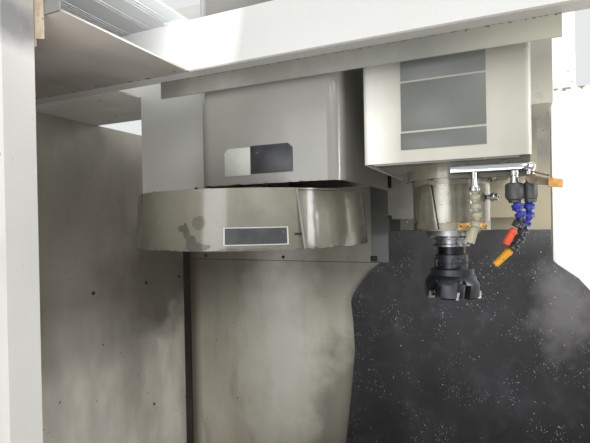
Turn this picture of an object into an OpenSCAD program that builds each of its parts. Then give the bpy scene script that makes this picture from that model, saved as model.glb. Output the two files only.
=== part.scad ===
// Vertical machining centre: a cast base, column and head inside a sheet metal enclosure,
// with a round tool changer, coolant hoses, sliding front doors, control pendant and cabinet.
// X runs to the right, Y to the back and Z up from the floor. Lengths are millimetres.

/* [Enclosure] */
// Width over the side walls
enclosure_w = 1916; // [1840:4:2200]
// Thickness of the sheet metal
sheet_t = 3; // [2:0.5:4]
// Floor to the underside of the roof panels
roof_z = 1780; // [1760:5:1820]
// Spindle axis to the outside of the front panels
front_y = 463; // [440:1:520]
// Spindle axis to the inside of the back wall
back_y = 470; // [465:1:480]
// Width of the door opening
opening_w = 926; // [860:2:1000]
// Gap in the roof between the two roof panels
roof_gap_w = 844; // [800:2:900]
// Floor to the sill of the door opening
sill_z = 870; // [840:5:900]
// Floor to the lower edge of the side walls and front apron
wall_foot_z = 120; // [90:5:160]
// Height of the face of the beam across the roof
header_h = 91; // [70:1:120]
// Spindle axis to the face of that beam
header_y = 202; // [196:1:230]
// Depth of the beam's lower flange
header_flange = 30; // [24:1:40]
// Drop of the splash plate below the beam
splash_h = 31; // [20:1:34]
// Left end of the splash plate, from the spindle axis
splash_left = 507; // [440:1:560]
// Right end of the splash plate, from the spindle axis
splash_right = 156; // [120:1:300]
// Width of the rear shelf panel beside the tool changer
shelf_w = 305; // [250:5:340]
// Back edge of the rear shelf panel, behind the spindle axis
shelf_y = 90; // [40:5:200]
// Height of the rear shelf panel above the roof panels
shelf_step = 12; // [6:1:30]
// Width of the dark strips in the back corners
strip_w = 25; // [15:1:40]
// Thickness of the corner strips
strip_t = 8; // [4:1:12]
// Slope of the chip pan from wall to base
pan_fall = 100; // [60:5:140]

/* [Doors] */
// Width of one door
door_w = 488; // [470:1:490]
// Thickness of a door
door_t = 42; // [34:1:50]
// Height of a door
door_h = 980; // [940:5:1000]
// Gap between a door and the panel behind it
door_gap = 3; // [2:0.5:6]
// Width of the window opening in a door
window_w = 290; // [240:5:320]
// Height of the window opening in a door
window_h = 560; // [400:5:700]
// Thickness of a window pane
pane_t = 6; // [5:0.5:10]
// Overlap of the pane on the door around the opening
pane_lap = 12; // [8:1:20]
// Length of a door handle
handle_h = 300; // [200:10:400]
// Width of a door handle bar
handle_d = 24; // [18:1:30]
// Finger room behind a handle
handle_gap = 34; // [28:1:50]

/* [Base and column] */
// Width of the base casting
base_w = 670; // [600:5:690]
// Floor to the top of the slideway deck
deck_z = 560; // [520:5:580]
// Floor to the top of the pad that carries the column
pad_z = 240; // [200:5:250]
// Front end of the base, before the spindle axis
base_front = 375; // [370:1:380]
// Back end of the slideway deck, behind the spindle axis
deck_back = 440; // [430:1:445]
// Back end of the base casting
base_back = 960; // [950:5:980]
// Wall thickness of the castings
cast_t = 50; // [40:1:60]
// Floor to the underside of the base
base_z = 70; // [60:1:90]
// Diameter of a levelling pad
foot_d = 90; // [70:1:110]
// Diameter of a levelling screw
foot_screw_d = 24; // [20:1:30]
// Width of the column
column_w = 560; // [520:5:600]
// Front face of the column, behind the spindle axis
column_front = 540; // [535:1:545]
// Depth of the column
column_d = 410; // [360:5:420]
// Floor to the top of the column
column_top = 2150; // [2140:5:2300]
// Diameter of the lifting holes in the column top
lift_hole_d = 24; // [20:1:30]
// Side to side distance between the lifting holes
lift_x = 400; // [300:10:420]
// Front to back distance between the lifting holes
lift_y = 200; // [150:10:220]

/* [Slideways] */
// Width of a guide rail
rail_w = 28; // [23:1:34]
// Height of a guide rail
rail_h = 26; // [22:1:30]
// Running gap between a rail and its trucks
truck_gap = 0.3; // [0.2:0.05:0.5]
// Width of a truck across its rail
truck_w = 70; // [60:1:80]
// Length of a truck along its rail
truck_l = 90; // [70:1:110]
// Diameter of the feed screws
screw_d = 32; // [25:1:36]
// Radial running gap of a feed screw in its bearings
screw_gap = 0.08; // [0.05:0.01:0.1]
// Radial gap of a feed screw in its nut
nut_gap = 0.5; // [0.3:0.1:0.8]
// Side of a square servo motor
motor_w = 110; // [90:1:120]

/* [Table] */
// Length of the table
table_l = 914; // [800:2:1000]
// Width of the table
table_w = 406; // [350:2:430]
// Thickness of the table
table_t = 70; // [60:1:80]
// Floor to the top of the table
table_z = 850; // [840:1:855]
// Width of a T-slot at the top
slot_w = 16; // [12:1:18]
// Distance between T-slots
slot_pitch = 120; // [80:5:140]
// Travel of the table to the left and right, in all
travel_x = 508; // [400:2:508]
// Travel of the saddle to the front and back, in all
travel_y = 406; // [300:2:406]
// Length of the saddle along Y
saddle_l = 330; // [300:2:332]
// Width of the saddle along X
saddle_w = 660; // [650:5:700]

/* [Head] */
// Floor to the lower end of the spindle nose with the head at the top
nose_z = 1490; // [1488:1:1500]
// Travel of the head up and down
travel_z = 508; // [400:2:508]
// Half width of the head cover
cover_hw = 121; // [115:1:125]
// Spindle axis to the front of the head cover
cover_y = 149; // [140:1:160]
// Lower edge of the head cover above the nose
cover_z = 110; // [108:1:120]
// Height of the head cover
cover_h = 530; // [480:5:530]
// Corner radius of the head cover
cover_r = 8; // [4:1:15]
// Half width of the carriage plate behind the head
carriage_hw = 209; // [200:1:210]
// Thickness of the carriage plate
carriage_t = 32; // [26:1:34]
// Radius of the spindle nose at its lower end
nose_r = 66; // [60:0.5:68]
// Height of the coolant ring round the nose
ring_h = 13.8; // [10:0.2:18]
// Radius of the flange of the spindle cartridge
flange_r = 76; // [70:1:84]
// Diameter of the spindle shaft
shaft_d = 70; // [60:1:76]
// Diameter of the spindle motor
motor_d = 190; // [150:2:200]
// Thickness of the rubber apron
apron_t = 4; // [3:0.5:6]
// Length of the rubber apron below its clamp
apron_h = 706; // [600:2:710]
// Half width of the apron where it flares out
apron_flare = 325; // [300:1:340]

/* [Tool] */
// Diameter of the tool holder's flange
tool_flange_d = 63.5; // [63:0.1:64]
// Thickness of the tool holder's flange
tool_flange_h = 15.9; // [15:0.1:17]
// Diameter of the tool holder body under the flange
holder_d = 48; // [44:1:50]
// Diameter of the milling arbor
arbor_d = 56; // [52:1:60]
// Cutting diameter of the face mill
mill_d = 100; // [80:1:102]
// Height of the face mill
mill_h = 42; // [36:1:44]
// Number of cutting inserts
insert_count = 6; // [4:1:8]

/* [Tool changer] */
// Number of tool pockets
pocket_count = 16; // [14:2:16]
// Diameter of the circle through the pockets
pocket_pcd = 388; // [384:1:396]
// Distance of the carousel axis from the spindle axis
carousel_x = 405; // [400:1:412]
// Outer radius of the carousel skirt at its lower edge
skirt_r = 246; // [244:1:250]
// Outer radius of the skirt at its upper edge
skirt_top_r = 238; // [236:1:242]
// Height of the skirt
skirt_h = 104; // [98:1:104]
// Drop of the skirt below the spindle nose
skirt_drop = 26; // [24:1:30]
// Wall thickness of the skirt
skirt_t = 2.5; // [2:0.1:3]
// Half angle of the opening that the shutter closes
shutter_half = 44; // [40:1:46]
// Lower edge of the changer housing above the nose
housing_z = 88; // [85:1:95]
// Height of the changer housing
housing_h = 392; // [340:2:400]
// Left side of the housing front, from the spindle axis
housing_left = 435; // [430:1:440]
// Right side of the housing front, from the spindle axis
housing_right = 155; // [150:1:158]
// Spindle axis to the front of the housing
housing_y = 163; // [155:1:168]
// Corner radius of the housing front
housing_r = 28; // [20:1:36]
// Width of the side sheet left of the housing
side_sheet_w = 212; // [200:1:214]
// Spindle axis to the front of the side sheet
side_sheet_y = 75; // [72:1:90]

/* [Coolant] */
// Outside diameter of a hose segment
hose_d = 15.5; // [14:0.5:17]
// Outside diameter of the manifold tube
tube_d = 12; // [10:0.5:14]
// Left hose's place to the right of the spindle axis
hose_a_x = 45; // [42:1:50]
// Middle hose's place to the right of the spindle axis
hose_b_x = 101; // [96:1:103]
// Right hose's place to the right of the spindle axis
hose_c_x = 122; // [119:1:126]

/* [Pendant] */
// Width of the pendant
pendant_w = 340; // [300:2:360]
// Height of the pendant
pendant_h = 500; // [440:5:560]
// Depth of the pendant
pendant_d = 110; // [90:1:110]
// Floor to the lower edge of the pendant
pendant_z = 1140; // [1100:5:1180]
// Pivot of the pendant arm, right of the spindle axis
pivot_x = 880; // [860:1:900]
// Pivot of the pendant arm, before the spindle axis
pivot_y = 585; // [584:1:590]
// Diameter of the pivot pin
pivot_d = 30; // [24:1:34]

/* [Cabinet] */
// Width of the electrical cabinet
cabinet_w = 900; // [800:5:1000]
// Height of the electrical cabinet
cabinet_h = 1400; // [1200:10:1500]
// Depth of the electrical cabinet
cabinet_d = 260; // [220:2:264]
// Floor to the lower edge of the cabinet
cabinet_z = 480; // [400:5:520]
// Diameter of the cable inlet in the cabinet top
inlet_d = 44; // [30:1:60]

/* [Hidden] */
$fn = 64;

// The front reaches furthest at the handwheel and the back at the cabinet: the origin lies midway
wheel_reach = 50;
front_reach = pivot_y + pendant_d / 2 + wheel_reach;
cabinet_back = 1250;
axis_y = (front_reach - cabinet_back) / 2;

half_w = enclosure_w / 2;
wall_x = half_w - sheet_t;
shelf_z = roof_z + shelf_step;
wall_top = shelf_z + 46;
pan_z = pad_z;
jamb_x = opening_w / 2;
jamb_fold = 60;
panel_x = jamb_x + 10;
lip_x = 8;
track_top = sill_z + door_h + 20;
header_top = roof_z + header_h;
plate_y = column_front - rail_h - 24 - carriage_t;
apron_y = plate_y - apron_t;
wall_gap = 5;
rail_x = 140;
saddle_rail_x = 230;
table_rail_y = 120;
truck_rise = 14;
truck_foot = 4;
saddle_z = deck_z + rail_h + truck_rise;
under_z = table_z - table_t;
saddle_top = under_z - rail_h - truck_rise;
rail_end = 6;
table_truck_x = table_l / 2 - rail_end - travel_x / 2 - 1;
y_screw_z = deck_z - 40;
x_screw_z = saddle_top - 38;
nut_l = 80;
nut_z = nose_z + 150;
z_screw_y = column_front - 26;
bore_r = screw_d / 2 + screw_gap;
door_y = front_y + door_gap;
pendant_x = pivot_x + 30 - pendant_w / 2;
pendant_y = pivot_y + pendant_d / 2;
pocket_r = pocket_pcd / 2;
groove_z = nose_z - 13.2 - tool_flange_h / 2;
cabinet_y = cabinet_back - cabinet_d - 5;
base_bolt_x = (base_w - cast_t) / 2;
foot_y = [-base_front + 50, 250, base_back - 50];

beam_x = 220;
beam_w = 60;
beam_z = nose_z + 130;
beam_h = 200;
clamp_h = 30;
face_drop = 10;
flange_top = 13.2;
flange_z = nose_z - flange_top - tool_flange_h;
holder_h = 14.3;
arbor_h = 25.5;
collar_h = 9.7;
arbor_z = flange_z - holder_h;
mill_top = arbor_z - arbor_h;
mill_z = mill_top - collar_h - mill_h;
bore_top = nose_z + cover_z - 3;
casting_top = nose_z + cover_h * 0.62;
neck_hw = carriage_hw - 44;
neck_top = nose_z + cover_h * 0.79;
carriage_top = nose_z + cover_h * 0.94;
carriage_foot = nose_z - 14 - clamp_h;
head_truck_z = [nose_z - 30, carriage_top - truck_l - 10];
motor_h = motor_d * 1.26;
duct_top = nose_z + cover_z + cover_h - 80;
flange_low = nose_z + 89;
cartridge_r = 60;
nose_shaft_r = 44;
skirt_z = nose_z - skirt_drop;
skirt_top = skirt_z + skirt_h;
post_r = 30;
post_gap = 0.08;
disc_t = 5;
notch_r = 27.6;
hub_r = 60;
disc_r = pocket_r + 32;
cap_z = groove_z - disc_t / 2 - 12;
hub_top = skirt_top - 18;
bar_y = cover_y + 1;
tube_z = nose_z + 93;
valve_z = nose_z + 58;
lever_z = valve_z + 16;
hose_stub = 4;
bar_x = 175;
bar_w = 45;
hose_a = [[hose_a_x, -bar_y, valve_z + hose_stub / 2], [hose_a_x - 1, -bar_y, nose_z + 20], [hose_a_x - 13, -bar_y, nose_z - 6]];
hose_b = [[hose_b_x, -bar_y, valve_z - hose_stub / 2], [hose_b_x + 1, -bar_y - 5, nose_z + 26], [hose_b_x - 11, -bar_y - 9, nose_z + 6]];
hose_c = [[hose_c_x, -bar_y, valve_z - hose_stub / 2], [hose_c_x - 10, -bar_y + 13, nose_z + 10],
    [hose_c_x - 34, -bar_y + 13, nose_z - 22]];
ear_w = 76;
bracket_y = 185;
bracket_t = 12;
slide_z = [nose_z + 150, nose_z + 310];
slide_gap = 8;
door_foot = sill_z - 3.7;
window_z = door_foot + door_h / 2 + 90;
window_x = -jamb_x - 1 - door_w / 2;
stop_x = pendant_x + pendant_w / 2 - 45;
stop_z = pendant_z + 60;
start_x = pendant_x - pendant_w / 2 + 50;
hold_x = start_x + 50;
wheel_x = stop_x;
wheel_z = pendant_z + 190;
switch_y = cabinet_y + 120;
switch_z = cabinet_z + cabinet_h - 200;
door_sheet = 4.7;
rack_t = 4;
drive_w = 110;
knuckle_r = 6.5;
knuckle_h = 20;
hinge_pin_r = 3;
hinge_x = -cabinet_w / 2 - knuckle_r - 0.5;
hinge_y = cabinet_back - knuckle_r;
hinge_z = [cabinet_z + 120, cabinet_z + cabinet_h - 200];
duct_w = 50;

// Shifts a shape from the spindle axis to the shared origin
module on_axis() translate([0, axis_y, 0]) children();

// A box between two corners, measured from the spindle axis
module box(lo, hi) translate(lo) cube(hi - lo);

// Copies a shape to the left and right
module both_sides() {
    children();
    mirror([1, 0, 0]) children();
}

// An upright box with rounded vertical corners
module rounded_box(lo, hi, r) {
    translate([0, 0, lo[2]])
        linear_extrude(hi[2] - lo[2])
            rounded_rect([lo[0], lo[1]], [hi[0], hi[1]], r);
}

// A rectangle with true round corners
module rounded_rect(lo, hi, r) {
    translate([lo[0] + r, lo[1]]) square([hi[0] - lo[0] - 2 * r, hi[1] - lo[1]]);
    translate([lo[0], lo[1] + r]) square([hi[0] - lo[0], hi[1] - lo[1] - 2 * r]);
    for (x = [lo[0] + r, hi[0] - r], y = [lo[1] + r, hi[1] - r])
        translate([x, y]) circle(r, $fn = 32);
}

// A servo motor that stands on its flange at z = 0, with its square body above
module servo(length) {
    w = motor_w / 2;
    box([-w, -w, 0], [w, w, 12]);
    rounded_box([-w + 6, -w + 6, 12], [w - 6, w - 6, length - 20], 10);
    rounded_box([-w + 16, -w + 16, length - 20], [w - 16, w - 16, length], 14);
}

module base_casting() {
    color("#b9b6a9") on_axis() difference() {
        union() {
            box([-base_w / 2, -base_front, base_z], [base_w / 2, deck_back, deck_z]);
            box([-base_w / 2, deck_back, base_z], [base_w / 2, base_back, pad_z]);
        }
        // Two cored bays under the deck and one under the column pad
        both_sides()
            box([cast_t / 2, cast_t - base_front, base_z - 1],
                [base_w / 2 - cast_t, deck_back - cast_t, y_screw_z - 60]);
        box([-base_w / 2 + 2 * cast_t, deck_back, base_z - 1],
            [base_w / 2 - 2 * cast_t, base_back - 2 * cast_t, pad_z - 60]);
        // Trough for the saddle's feed screw
        box([-70, -base_front + 30, y_screw_z - 40], [70, deck_back - 30, deck_z + 1]);
        translate([0, -base_front - 1, y_screw_z]) rotate([-90, 0, 0])
            cylinder(h = base_front + deck_back - 9, r = bore_r);
        for (x = [-base_bolt_x, base_bolt_x], y = foot_y)
            translate([x, y, base_z - 1]) cylinder(h = 101, d = foot_screw_d + 0.3);
    }
}

module levelling_feet() {
    color("#4a4a48") on_axis()
        for (x = [-base_bolt_x, base_bolt_x], y = foot_y)
            translate([x, y, 0]) {
                cylinder(h = 18, d = foot_d);
                cylinder(h = 30, d = foot_screw_d * 1.8);
                cylinder(h = base_z + 80, d = foot_screw_d);
                translate([0, 0, base_z - 16]) cylinder(h = 16, d = foot_screw_d * 1.7, $fn = 6);
            }
}

module column() {
    bay_h = (column_top - pad_z - 3 * cast_t) / 2;
    color("#b5ae9c") on_axis() difference() {
        union() {
            box([-column_w / 2, column_front, pad_z], [column_w / 2, column_front + column_d, column_top]);
            // Lower bearing of the head's feed screw
            box([-60, column_front - 48, nose_z - travel_z - 106],
                [60, column_front, nose_z - travel_z - 70]);
        }
        for (i = [0, 1])
            translate([0, 0, pad_z + cast_t + i * (bay_h + cast_t)])
                box([-column_w / 2 + cast_t, column_front + 60, 0],
                    [column_w / 2 - cast_t, column_front + column_d + 1, bay_h]);
        translate([0, z_screw_y, nose_z - travel_z - 107]) cylinder(h = 40, r = bore_r);
        for (x = [-lift_x / 2, lift_x / 2], y = [-lift_y / 2, lift_y / 2])
            translate([x, column_front + column_d / 2 + y, column_top - 40]) cylinder(h = 41, d = lift_hole_d);
    }
}

module guide_rails() {
    color("#8d9092") on_axis() {
        for (x = [-saddle_rail_x, saddle_rail_x])
            box([x - rail_w / 2, -(saddle_l + travel_y) / 2 - 3, deck_z],
                [x + rail_w / 2, deck_back - rail_end, deck_z + rail_h]);
        for (x = [-rail_x, rail_x])
            box([x - rail_w / 2, column_front - rail_h, nose_z - travel_z - 60],
                [x + rail_w / 2, column_front, column_top - 60]);
    }
}

module chip_pan() {
    inner = base_w / 2;
    color("#8b8a80") on_axis() {
        both_sides()
            translate([0, back_y, 0]) rotate([90, 0, 0])
                linear_extrude(back_y + front_y - sheet_t)
                    polygon([[inner, pan_z], [wall_x, pan_z + pan_fall],
                        [wall_x, pan_z + pan_fall + sheet_t], [inner, pan_z + sheet_t]]);
        box([-inner, -front_y + sheet_t, pan_z + 60], [inner, -base_front, pan_z + 60 + sheet_t]);
    }
}

module side_walls() {
    color("#d9d7cc") on_axis() both_sides()
        box([wall_x, -front_y, wall_foot_z], [half_w, back_y + sheet_t, shelf_z]);
}

module back_wall() {
    color("#cfccbf") on_axis() difference() {
        box([-wall_x, back_y, pan_z + sheet_t], [wall_x, back_y + sheet_t, wall_top]);
        box([-carriage_hw - wall_gap, back_y - 1, nose_z - travel_z - 60],
            [carriage_hw + wall_gap, back_y + sheet_t + 1, wall_top + 1]);
        box([-beam_x - beam_w - 2, back_y - 1, beam_z - 2],
            [-beam_x + 2, back_y + sheet_t + 1, beam_z + beam_h + 2]);
    }
}

module front_panels() {
    color("#e6e5df") on_axis() both_sides() {
        box([panel_x, -front_y, sill_z], [wall_x, -front_y + sheet_t, track_top + 20]);
        box([roof_gap_w / 2, -front_y, roof_z], [panel_x, -front_y + sheet_t, track_top + 20]);
        // Stiffening fold behind the panel
        box([jamb_x + jamb_fold, -front_y + sheet_t, sill_z],
            [jamb_x + jamb_fold + sheet_t, -front_y + 40, roof_z]);
    }
}

module front_apron() {
    color("#e0dfd8") on_axis() {
        box([-wall_x, -front_y, wall_foot_z], [wall_x, -front_y + sheet_t, sill_z]);
        box([-wall_x, -front_y + sheet_t, sill_z - sheet_t], [wall_x, -front_y + 45, sill_z]);
    }
}

module roof_panels() {
    color("#a7a49b") on_axis() both_sides() {
        box([roof_gap_w / 2, -front_y + sheet_t, roof_z], [wall_x, -header_y, roof_z + sheet_t]);
        // Upstand along the wall that carries the upper skin
        box([wall_x - sheet_t, -front_y + sheet_t, roof_z], [wall_x, -header_y, header_top]);
        box([roof_gap_w / 2, -front_y + sheet_t, header_top],
            [wall_x, -header_y + header_flange, header_top + sheet_t]);
    }
}

module rear_shelf() {
    color("#8f908a") on_axis()
        box([-half_w, -header_y + header_flange, shelf_z], [-wall_x + shelf_w, shelf_y, shelf_z + sheet_t]);
}

module header_beam() {
    color("#ecece8") on_axis() {
        box([-wall_x, -header_y, roof_z], [wall_x, -header_y + sheet_t, header_top]);
        box([-wall_x, -header_y, roof_z], [wall_x, -header_y + header_flange, roof_z + sheet_t]);
        box([-wall_x, -header_y, header_top - sheet_t], [wall_x, -header_y + header_flange, header_top]);
    }
}

module splash_plate() {
    color("#7f8079") on_axis()
        box([-splash_left, -header_y + header_flange - sheet_t, roof_z - splash_h],
            [splash_right, -header_y + header_flange, roof_z]);
}

module corner_strips() {
    color("#3b3733") on_axis() both_sides()
        box([wall_x - strip_w, back_y - strip_t, pan_z + pan_fall + sheet_t], [wall_x, back_y, shelf_z]);
}

module door_track() {
    depth = door_gap + door_t + 4;
    color("#d4d3cc") on_axis() difference() {
        union() {
            box([-wall_x, -front_y - depth, track_top - 16], [wall_x, -front_y, track_top + 16]);
            box([-wall_x, -front_y - depth, sill_z - 26], [wall_x, -front_y, sill_z - 4]);
            // Bracket that carries the pendant's pivot
            box([pivot_x - 30, -pivot_y - 30, track_top - 10], [pivot_x + 30, -front_y - depth, track_top + 10]);
        }
        translate([pivot_x, -pivot_y, track_top - 11]) cylinder(h = 22, d = pivot_d + 0.1);
    }
}

module feed_motors() {
    color("#2d2e30") on_axis() {
        translate([0, -base_front, y_screw_z]) rotate([90, 0, 0]) servo(80);
        translate([0, z_screw_y, column_top + 24]) servo(190);
    }
}

module z_motor_mount() {
    color("#9a978b") on_axis() difference() {
        box([-90, plate_y - 20, column_top], [90, column_front + 140, column_top + 24]);
        translate([0, z_screw_y, column_top - 1]) cylinder(h = 26, r = bore_r);
    }
}

module feed_screw(length) {
    cylinder(h = length, d = screw_d);
}

module z_screw() {
    low = nose_z - travel_z - 104;
    color("#a9abab") on_axis() translate([0, z_screw_y, low]) feed_screw(column_top + 23.5 - low);
}

module y_screw() {
    color("#a9abab") on_axis()
        translate([0, -base_front + 0.5, y_screw_z]) rotate([-90, 0, 0])
            feed_screw(base_front + deck_back - 12);
}

module x_screw() {
    color("#a9abab") on_axis()
        translate([-saddle_w / 2 + 2, 0, x_screw_z]) rotate([0, 90, 0]) feed_screw(saddle_w - 2.5);
}

module saddle() {
    color("#a39f92") on_axis() difference() {
        union() {
            box([-saddle_w / 2, -saddle_l / 2, saddle_z], [saddle_w / 2, saddle_l / 2, saddle_top]);
            // Trucks on the base's rails, and trucks for the table's rails
            for (x = [-saddle_rail_x, saddle_rail_x], y = [-saddle_l / 2, saddle_l / 2 - truck_l])
                box([x - truck_w / 2, y, deck_z + truck_foot], [x + truck_w / 2, y + truck_l, saddle_z]);
            for (x = [-table_truck_x, table_truck_x - truck_l], y = [-table_rail_y, table_rail_y])
                box([x, y - truck_w / 2, saddle_top], [x + truck_l, y + truck_w / 2, under_z - truck_foot]);
            // Nut bracket on the feed screw
            box([-45, -45, y_screw_z - 28], [45, 45, saddle_z]);
        }
        for (x = [-saddle_rail_x, saddle_rail_x])
            box([x - rail_w / 2 - truck_gap, -saddle_l, deck_z],
                [x + rail_w / 2 + truck_gap, saddle_l, deck_z + rail_h + truck_gap]);
        for (y = [-table_rail_y, table_rail_y])
            box([-saddle_w, y - rail_w / 2 - truck_gap, under_z - rail_h - truck_gap],
                [saddle_w, y + rail_w / 2 + truck_gap, under_z]);
        translate([0, 46, y_screw_z]) rotate([90, 0, 0]) cylinder(h = 92, r = screw_d / 2 + nut_gap);
        // Trough for the table's feed screw, closed at both ends by its bearings
        box([-saddle_w / 2 + 30, -60, x_screw_z - 34], [saddle_w / 2 - 30, 60, saddle_top + 1]);
        translate([-saddle_w / 2 - 1, 0, x_screw_z]) rotate([0, 90, 0])
            cylinder(h = saddle_w + 2, r = bore_r);
    }
}

module x_rails() {
    color("#8d9092") on_axis()
        for (y = [-table_rail_y, table_rail_y])
            box([-table_l / 2 + rail_end, y - rail_w / 2, under_z - rail_h],
                [table_l / 2 - rail_end, y + rail_w / 2, under_z]);
}

module x_motor() {
    color("#2d2e30") on_axis()
        translate([saddle_w / 2, 0, x_screw_z]) rotate([0, 90, 0]) servo(150);
}

module table() {
    color("#8a8b88") on_axis() difference() {
        union() {
            box([-table_l / 2, -table_w / 2, under_z], [table_l / 2, table_w / 2, table_z]);
            // Nut bracket on the feed screw
            box([-nut_l / 2, -42, x_screw_z - 26], [nut_l / 2, 42, under_z]);
        }
        for (y = [-slot_pitch, 0, slot_pitch]) {
            box([-table_l, y - slot_w / 2, table_z - 22], [table_l, y + slot_w / 2, table_z + 1]);
            box([-table_l, y - slot_w * 0.85, table_z - 32], [table_l, y + slot_w * 0.85, table_z - 20]);
        }
        translate([-nut_l / 2 - 1, 0, x_screw_z]) rotate([0, 90, 0])
            cylinder(h = nut_l + 2, r = screw_d / 2 + nut_gap);
    }
}

// A point on the curve that runs from a to c and bends towards b
function bend(a, b, c, t) = (1 - t) * (1 - t) * a + 2 * t * (1 - t) * b + t * t * c;

// Turns a shape that stands at the origin to stand at a and point at b
module aim(a, b) {
    d = b - a;
    translate(a) rotate([0, acos(d[2] / norm(d)), atan2(d[1], d[0])]) children();
}

module changer_bracket() {
    left = -housing_left - side_sheet_w;
    color("#a6a294") on_axis() {
        box([-beam_x - beam_w, bracket_y + bracket_t, beam_z], [-beam_x, column_front, beam_z + beam_h]);
        box([left + sheet_t, bracket_y, nose_z + 100],
            [-housing_right - sheet_t, bracket_y + bracket_t, nose_z + 380]);
        // Rails of the changer's slide
        for (z = slide_z)
            box([left + slide_gap, bracket_y - rail_h, z - rail_w / 2],
                [-housing_right - slide_gap, bracket_y, z + rail_w / 2]);
    }
}

module housing_outline(t) {
    back = bracket_y + bracket_t;
    rounded_rect([-housing_left + t, -housing_y + t], [-housing_right - t, back], housing_r - t);
    translate([-housing_left - side_sheet_w + t, -side_sheet_y + t])
        square([side_sheet_w + housing_r, side_sheet_y + back - t]);
    translate([-housing_left, back - housing_r]) square([housing_left - housing_right - t, housing_r]);
}

module changer_housing() {
    left = -housing_left - side_sheet_w;
    ear_z = shelf_z + sheet_t;
    top = nose_z + housing_z + housing_h;
    color("#dddbcd") on_axis() difference() {
        union() {
            translate([0, 0, nose_z + housing_z]) linear_extrude(housing_h) housing_outline(0);
            // Ear that rests on the rear shelf panel
            box([left - ear_w, -side_sheet_y, ear_z], [left + 1, shelf_y + 60, top]);
        }
        box([left - ear_w + sheet_t, sheet_t - side_sheet_y, ear_z - 1],
            [left, shelf_y + 60 - sheet_t, top - sheet_t]);
        translate([0, 0, nose_z + housing_z - 1]) linear_extrude(housing_h - sheet_t + 1)
            housing_outline(sheet_t);
        // The back is open on the bracket's plate
        box([-housing_left - side_sheet_w + sheet_t, bracket_y - rail_h, nose_z + housing_z - 1],
            [-housing_right - sheet_t, bracket_y + bracket_t + 1, nose_z + housing_z + housing_h - sheet_t]);
    }
}

module changer_carriage() {
    right = post_r - 1;
    left = right - 185;
    plate_t = 32;
    front = bracket_y - rail_h - slide_gap;
    color("#8f8d84") on_axis() translate([-carousel_x, 0, 0]) difference() {
        union() {
            box([left, front - plate_t, nose_z + 115], [right, front, nose_z + 345]);
            for (x = [left, right - truck_l], z = slide_z)
                box([x, front, z - truck_w / 2], [x + truck_l, bracket_y - truck_foot, z + truck_w / 2]);
            box([right - 75, -post_r, nose_z + 100], [right, front - plate_t, nose_z + 130]);
            translate([0, 0, cap_z + 8]) cylinder(h = nose_z + 101 - cap_z - 8, r = post_r);
            translate([0, 0, cap_z]) cylinder(h = 8, r = post_r + 15);
            translate([0, 0, skirt_top]) cylinder(h = 6, r = hub_r);
            // Gear motor that turns the carousel
            translate([right - 48, 15, nose_z + 130]) cylinder(h = 130, r = 44);
        }
        for (z = slide_z)
            box([left - 1, bracket_y - rail_h - truck_gap, z - rail_w / 2 - truck_gap],
                [right + 1, bracket_y, z + rail_w / 2 + truck_gap]);
    }
}

module skirt_wall(inset, z, h, from, turn) {
    slope = (skirt_r - skirt_top_r) / skirt_h;
    low = skirt_r - inset - slope * (z - skirt_z);
    high = low - slope * h;
    rotate([0, 0, from]) rotate_extrude(angle = turn, $fn = 128)
        polygon([[low - skirt_t, z], [low, z], [high, z + h], [high - skirt_t, z + h]]);
}

module carousel_skirt() {
    color("#d6d4c4") on_axis() translate([-carousel_x, 0, 0]) {
        skirt_wall(0, skirt_z, skirt_h, shutter_half, 360 - 2 * shutter_half);
        difference() {
            translate([0, 0, skirt_top - sheet_t]) cylinder(h = sheet_t, r = skirt_top_r - 1, $fn = 128);
            translate([0, 0, skirt_top - sheet_t - 1]) cylinder(h = sheet_t + 2, r = post_r + post_gap);
            box([pocket_r - nose_r - 22, -nose_r - 18, skirt_top - 10],
                [skirt_r, nose_r + 18, skirt_top + 1]);
        }
    }
}

module carousel_shutter() {
    h = skirt_h - sheet_t - 1;
    color("#dad8c8") on_axis() translate([-carousel_x, 0, 0]) {
        skirt_wall(skirt_t + 1, skirt_z, h, -shutter_half, 2 * shutter_half);
        difference() {
            union() {
                translate([0, 0, skirt_z + h - 12]) cylinder(h = 12, r = hub_r);
                for (a = [-shutter_half + 12, shutter_half - 12])
                    rotate([0, 0, a])
                        box([post_r + 5, -12, skirt_z + h - 4], [skirt_top_r - skirt_t - 2, 12, skirt_z + h]);
            }
            translate([0, 0, skirt_z]) cylinder(h = skirt_h, r = post_r + post_gap);
        }
    }
}

module carousel_disc() {
    color("#9a9b98") on_axis() translate([-carousel_x, 0, 0]) difference() {
        union() {
            translate([0, 0, groove_z - disc_t / 2]) cylinder(h = disc_t, r = disc_r, $fn = 128);
            translate([0, 0, groove_z - disc_t / 2 - 3.5]) cylinder(h = hub_top - groove_z + 6, r = hub_r);
            translate([0, 0, groove_z]) cylinder(h = 22, r = pocket_r - nose_r - 14);
        }
        translate([0, 0, cap_z]) cylinder(h = 200, r = post_r + post_gap);
        translate([0, 0, groove_z + 6]) difference() {
            cylinder(h = 30, r = pocket_r - nose_r - 22);
            translate([0, 0, -1]) cylinder(h = 32, r = hub_r);
        }
        for (i = [0:pocket_count - 1])
            rotate([0, 0, i * 360 / pocket_count]) {
                translate([pocket_r, 0, groove_z - 10]) cylinder(h = 20, r = notch_r);
                box([pocket_r, -notch_r, groove_z - 10], [disc_r + 5, notch_r, groove_z + 10]);
            }
    }
}

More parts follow.
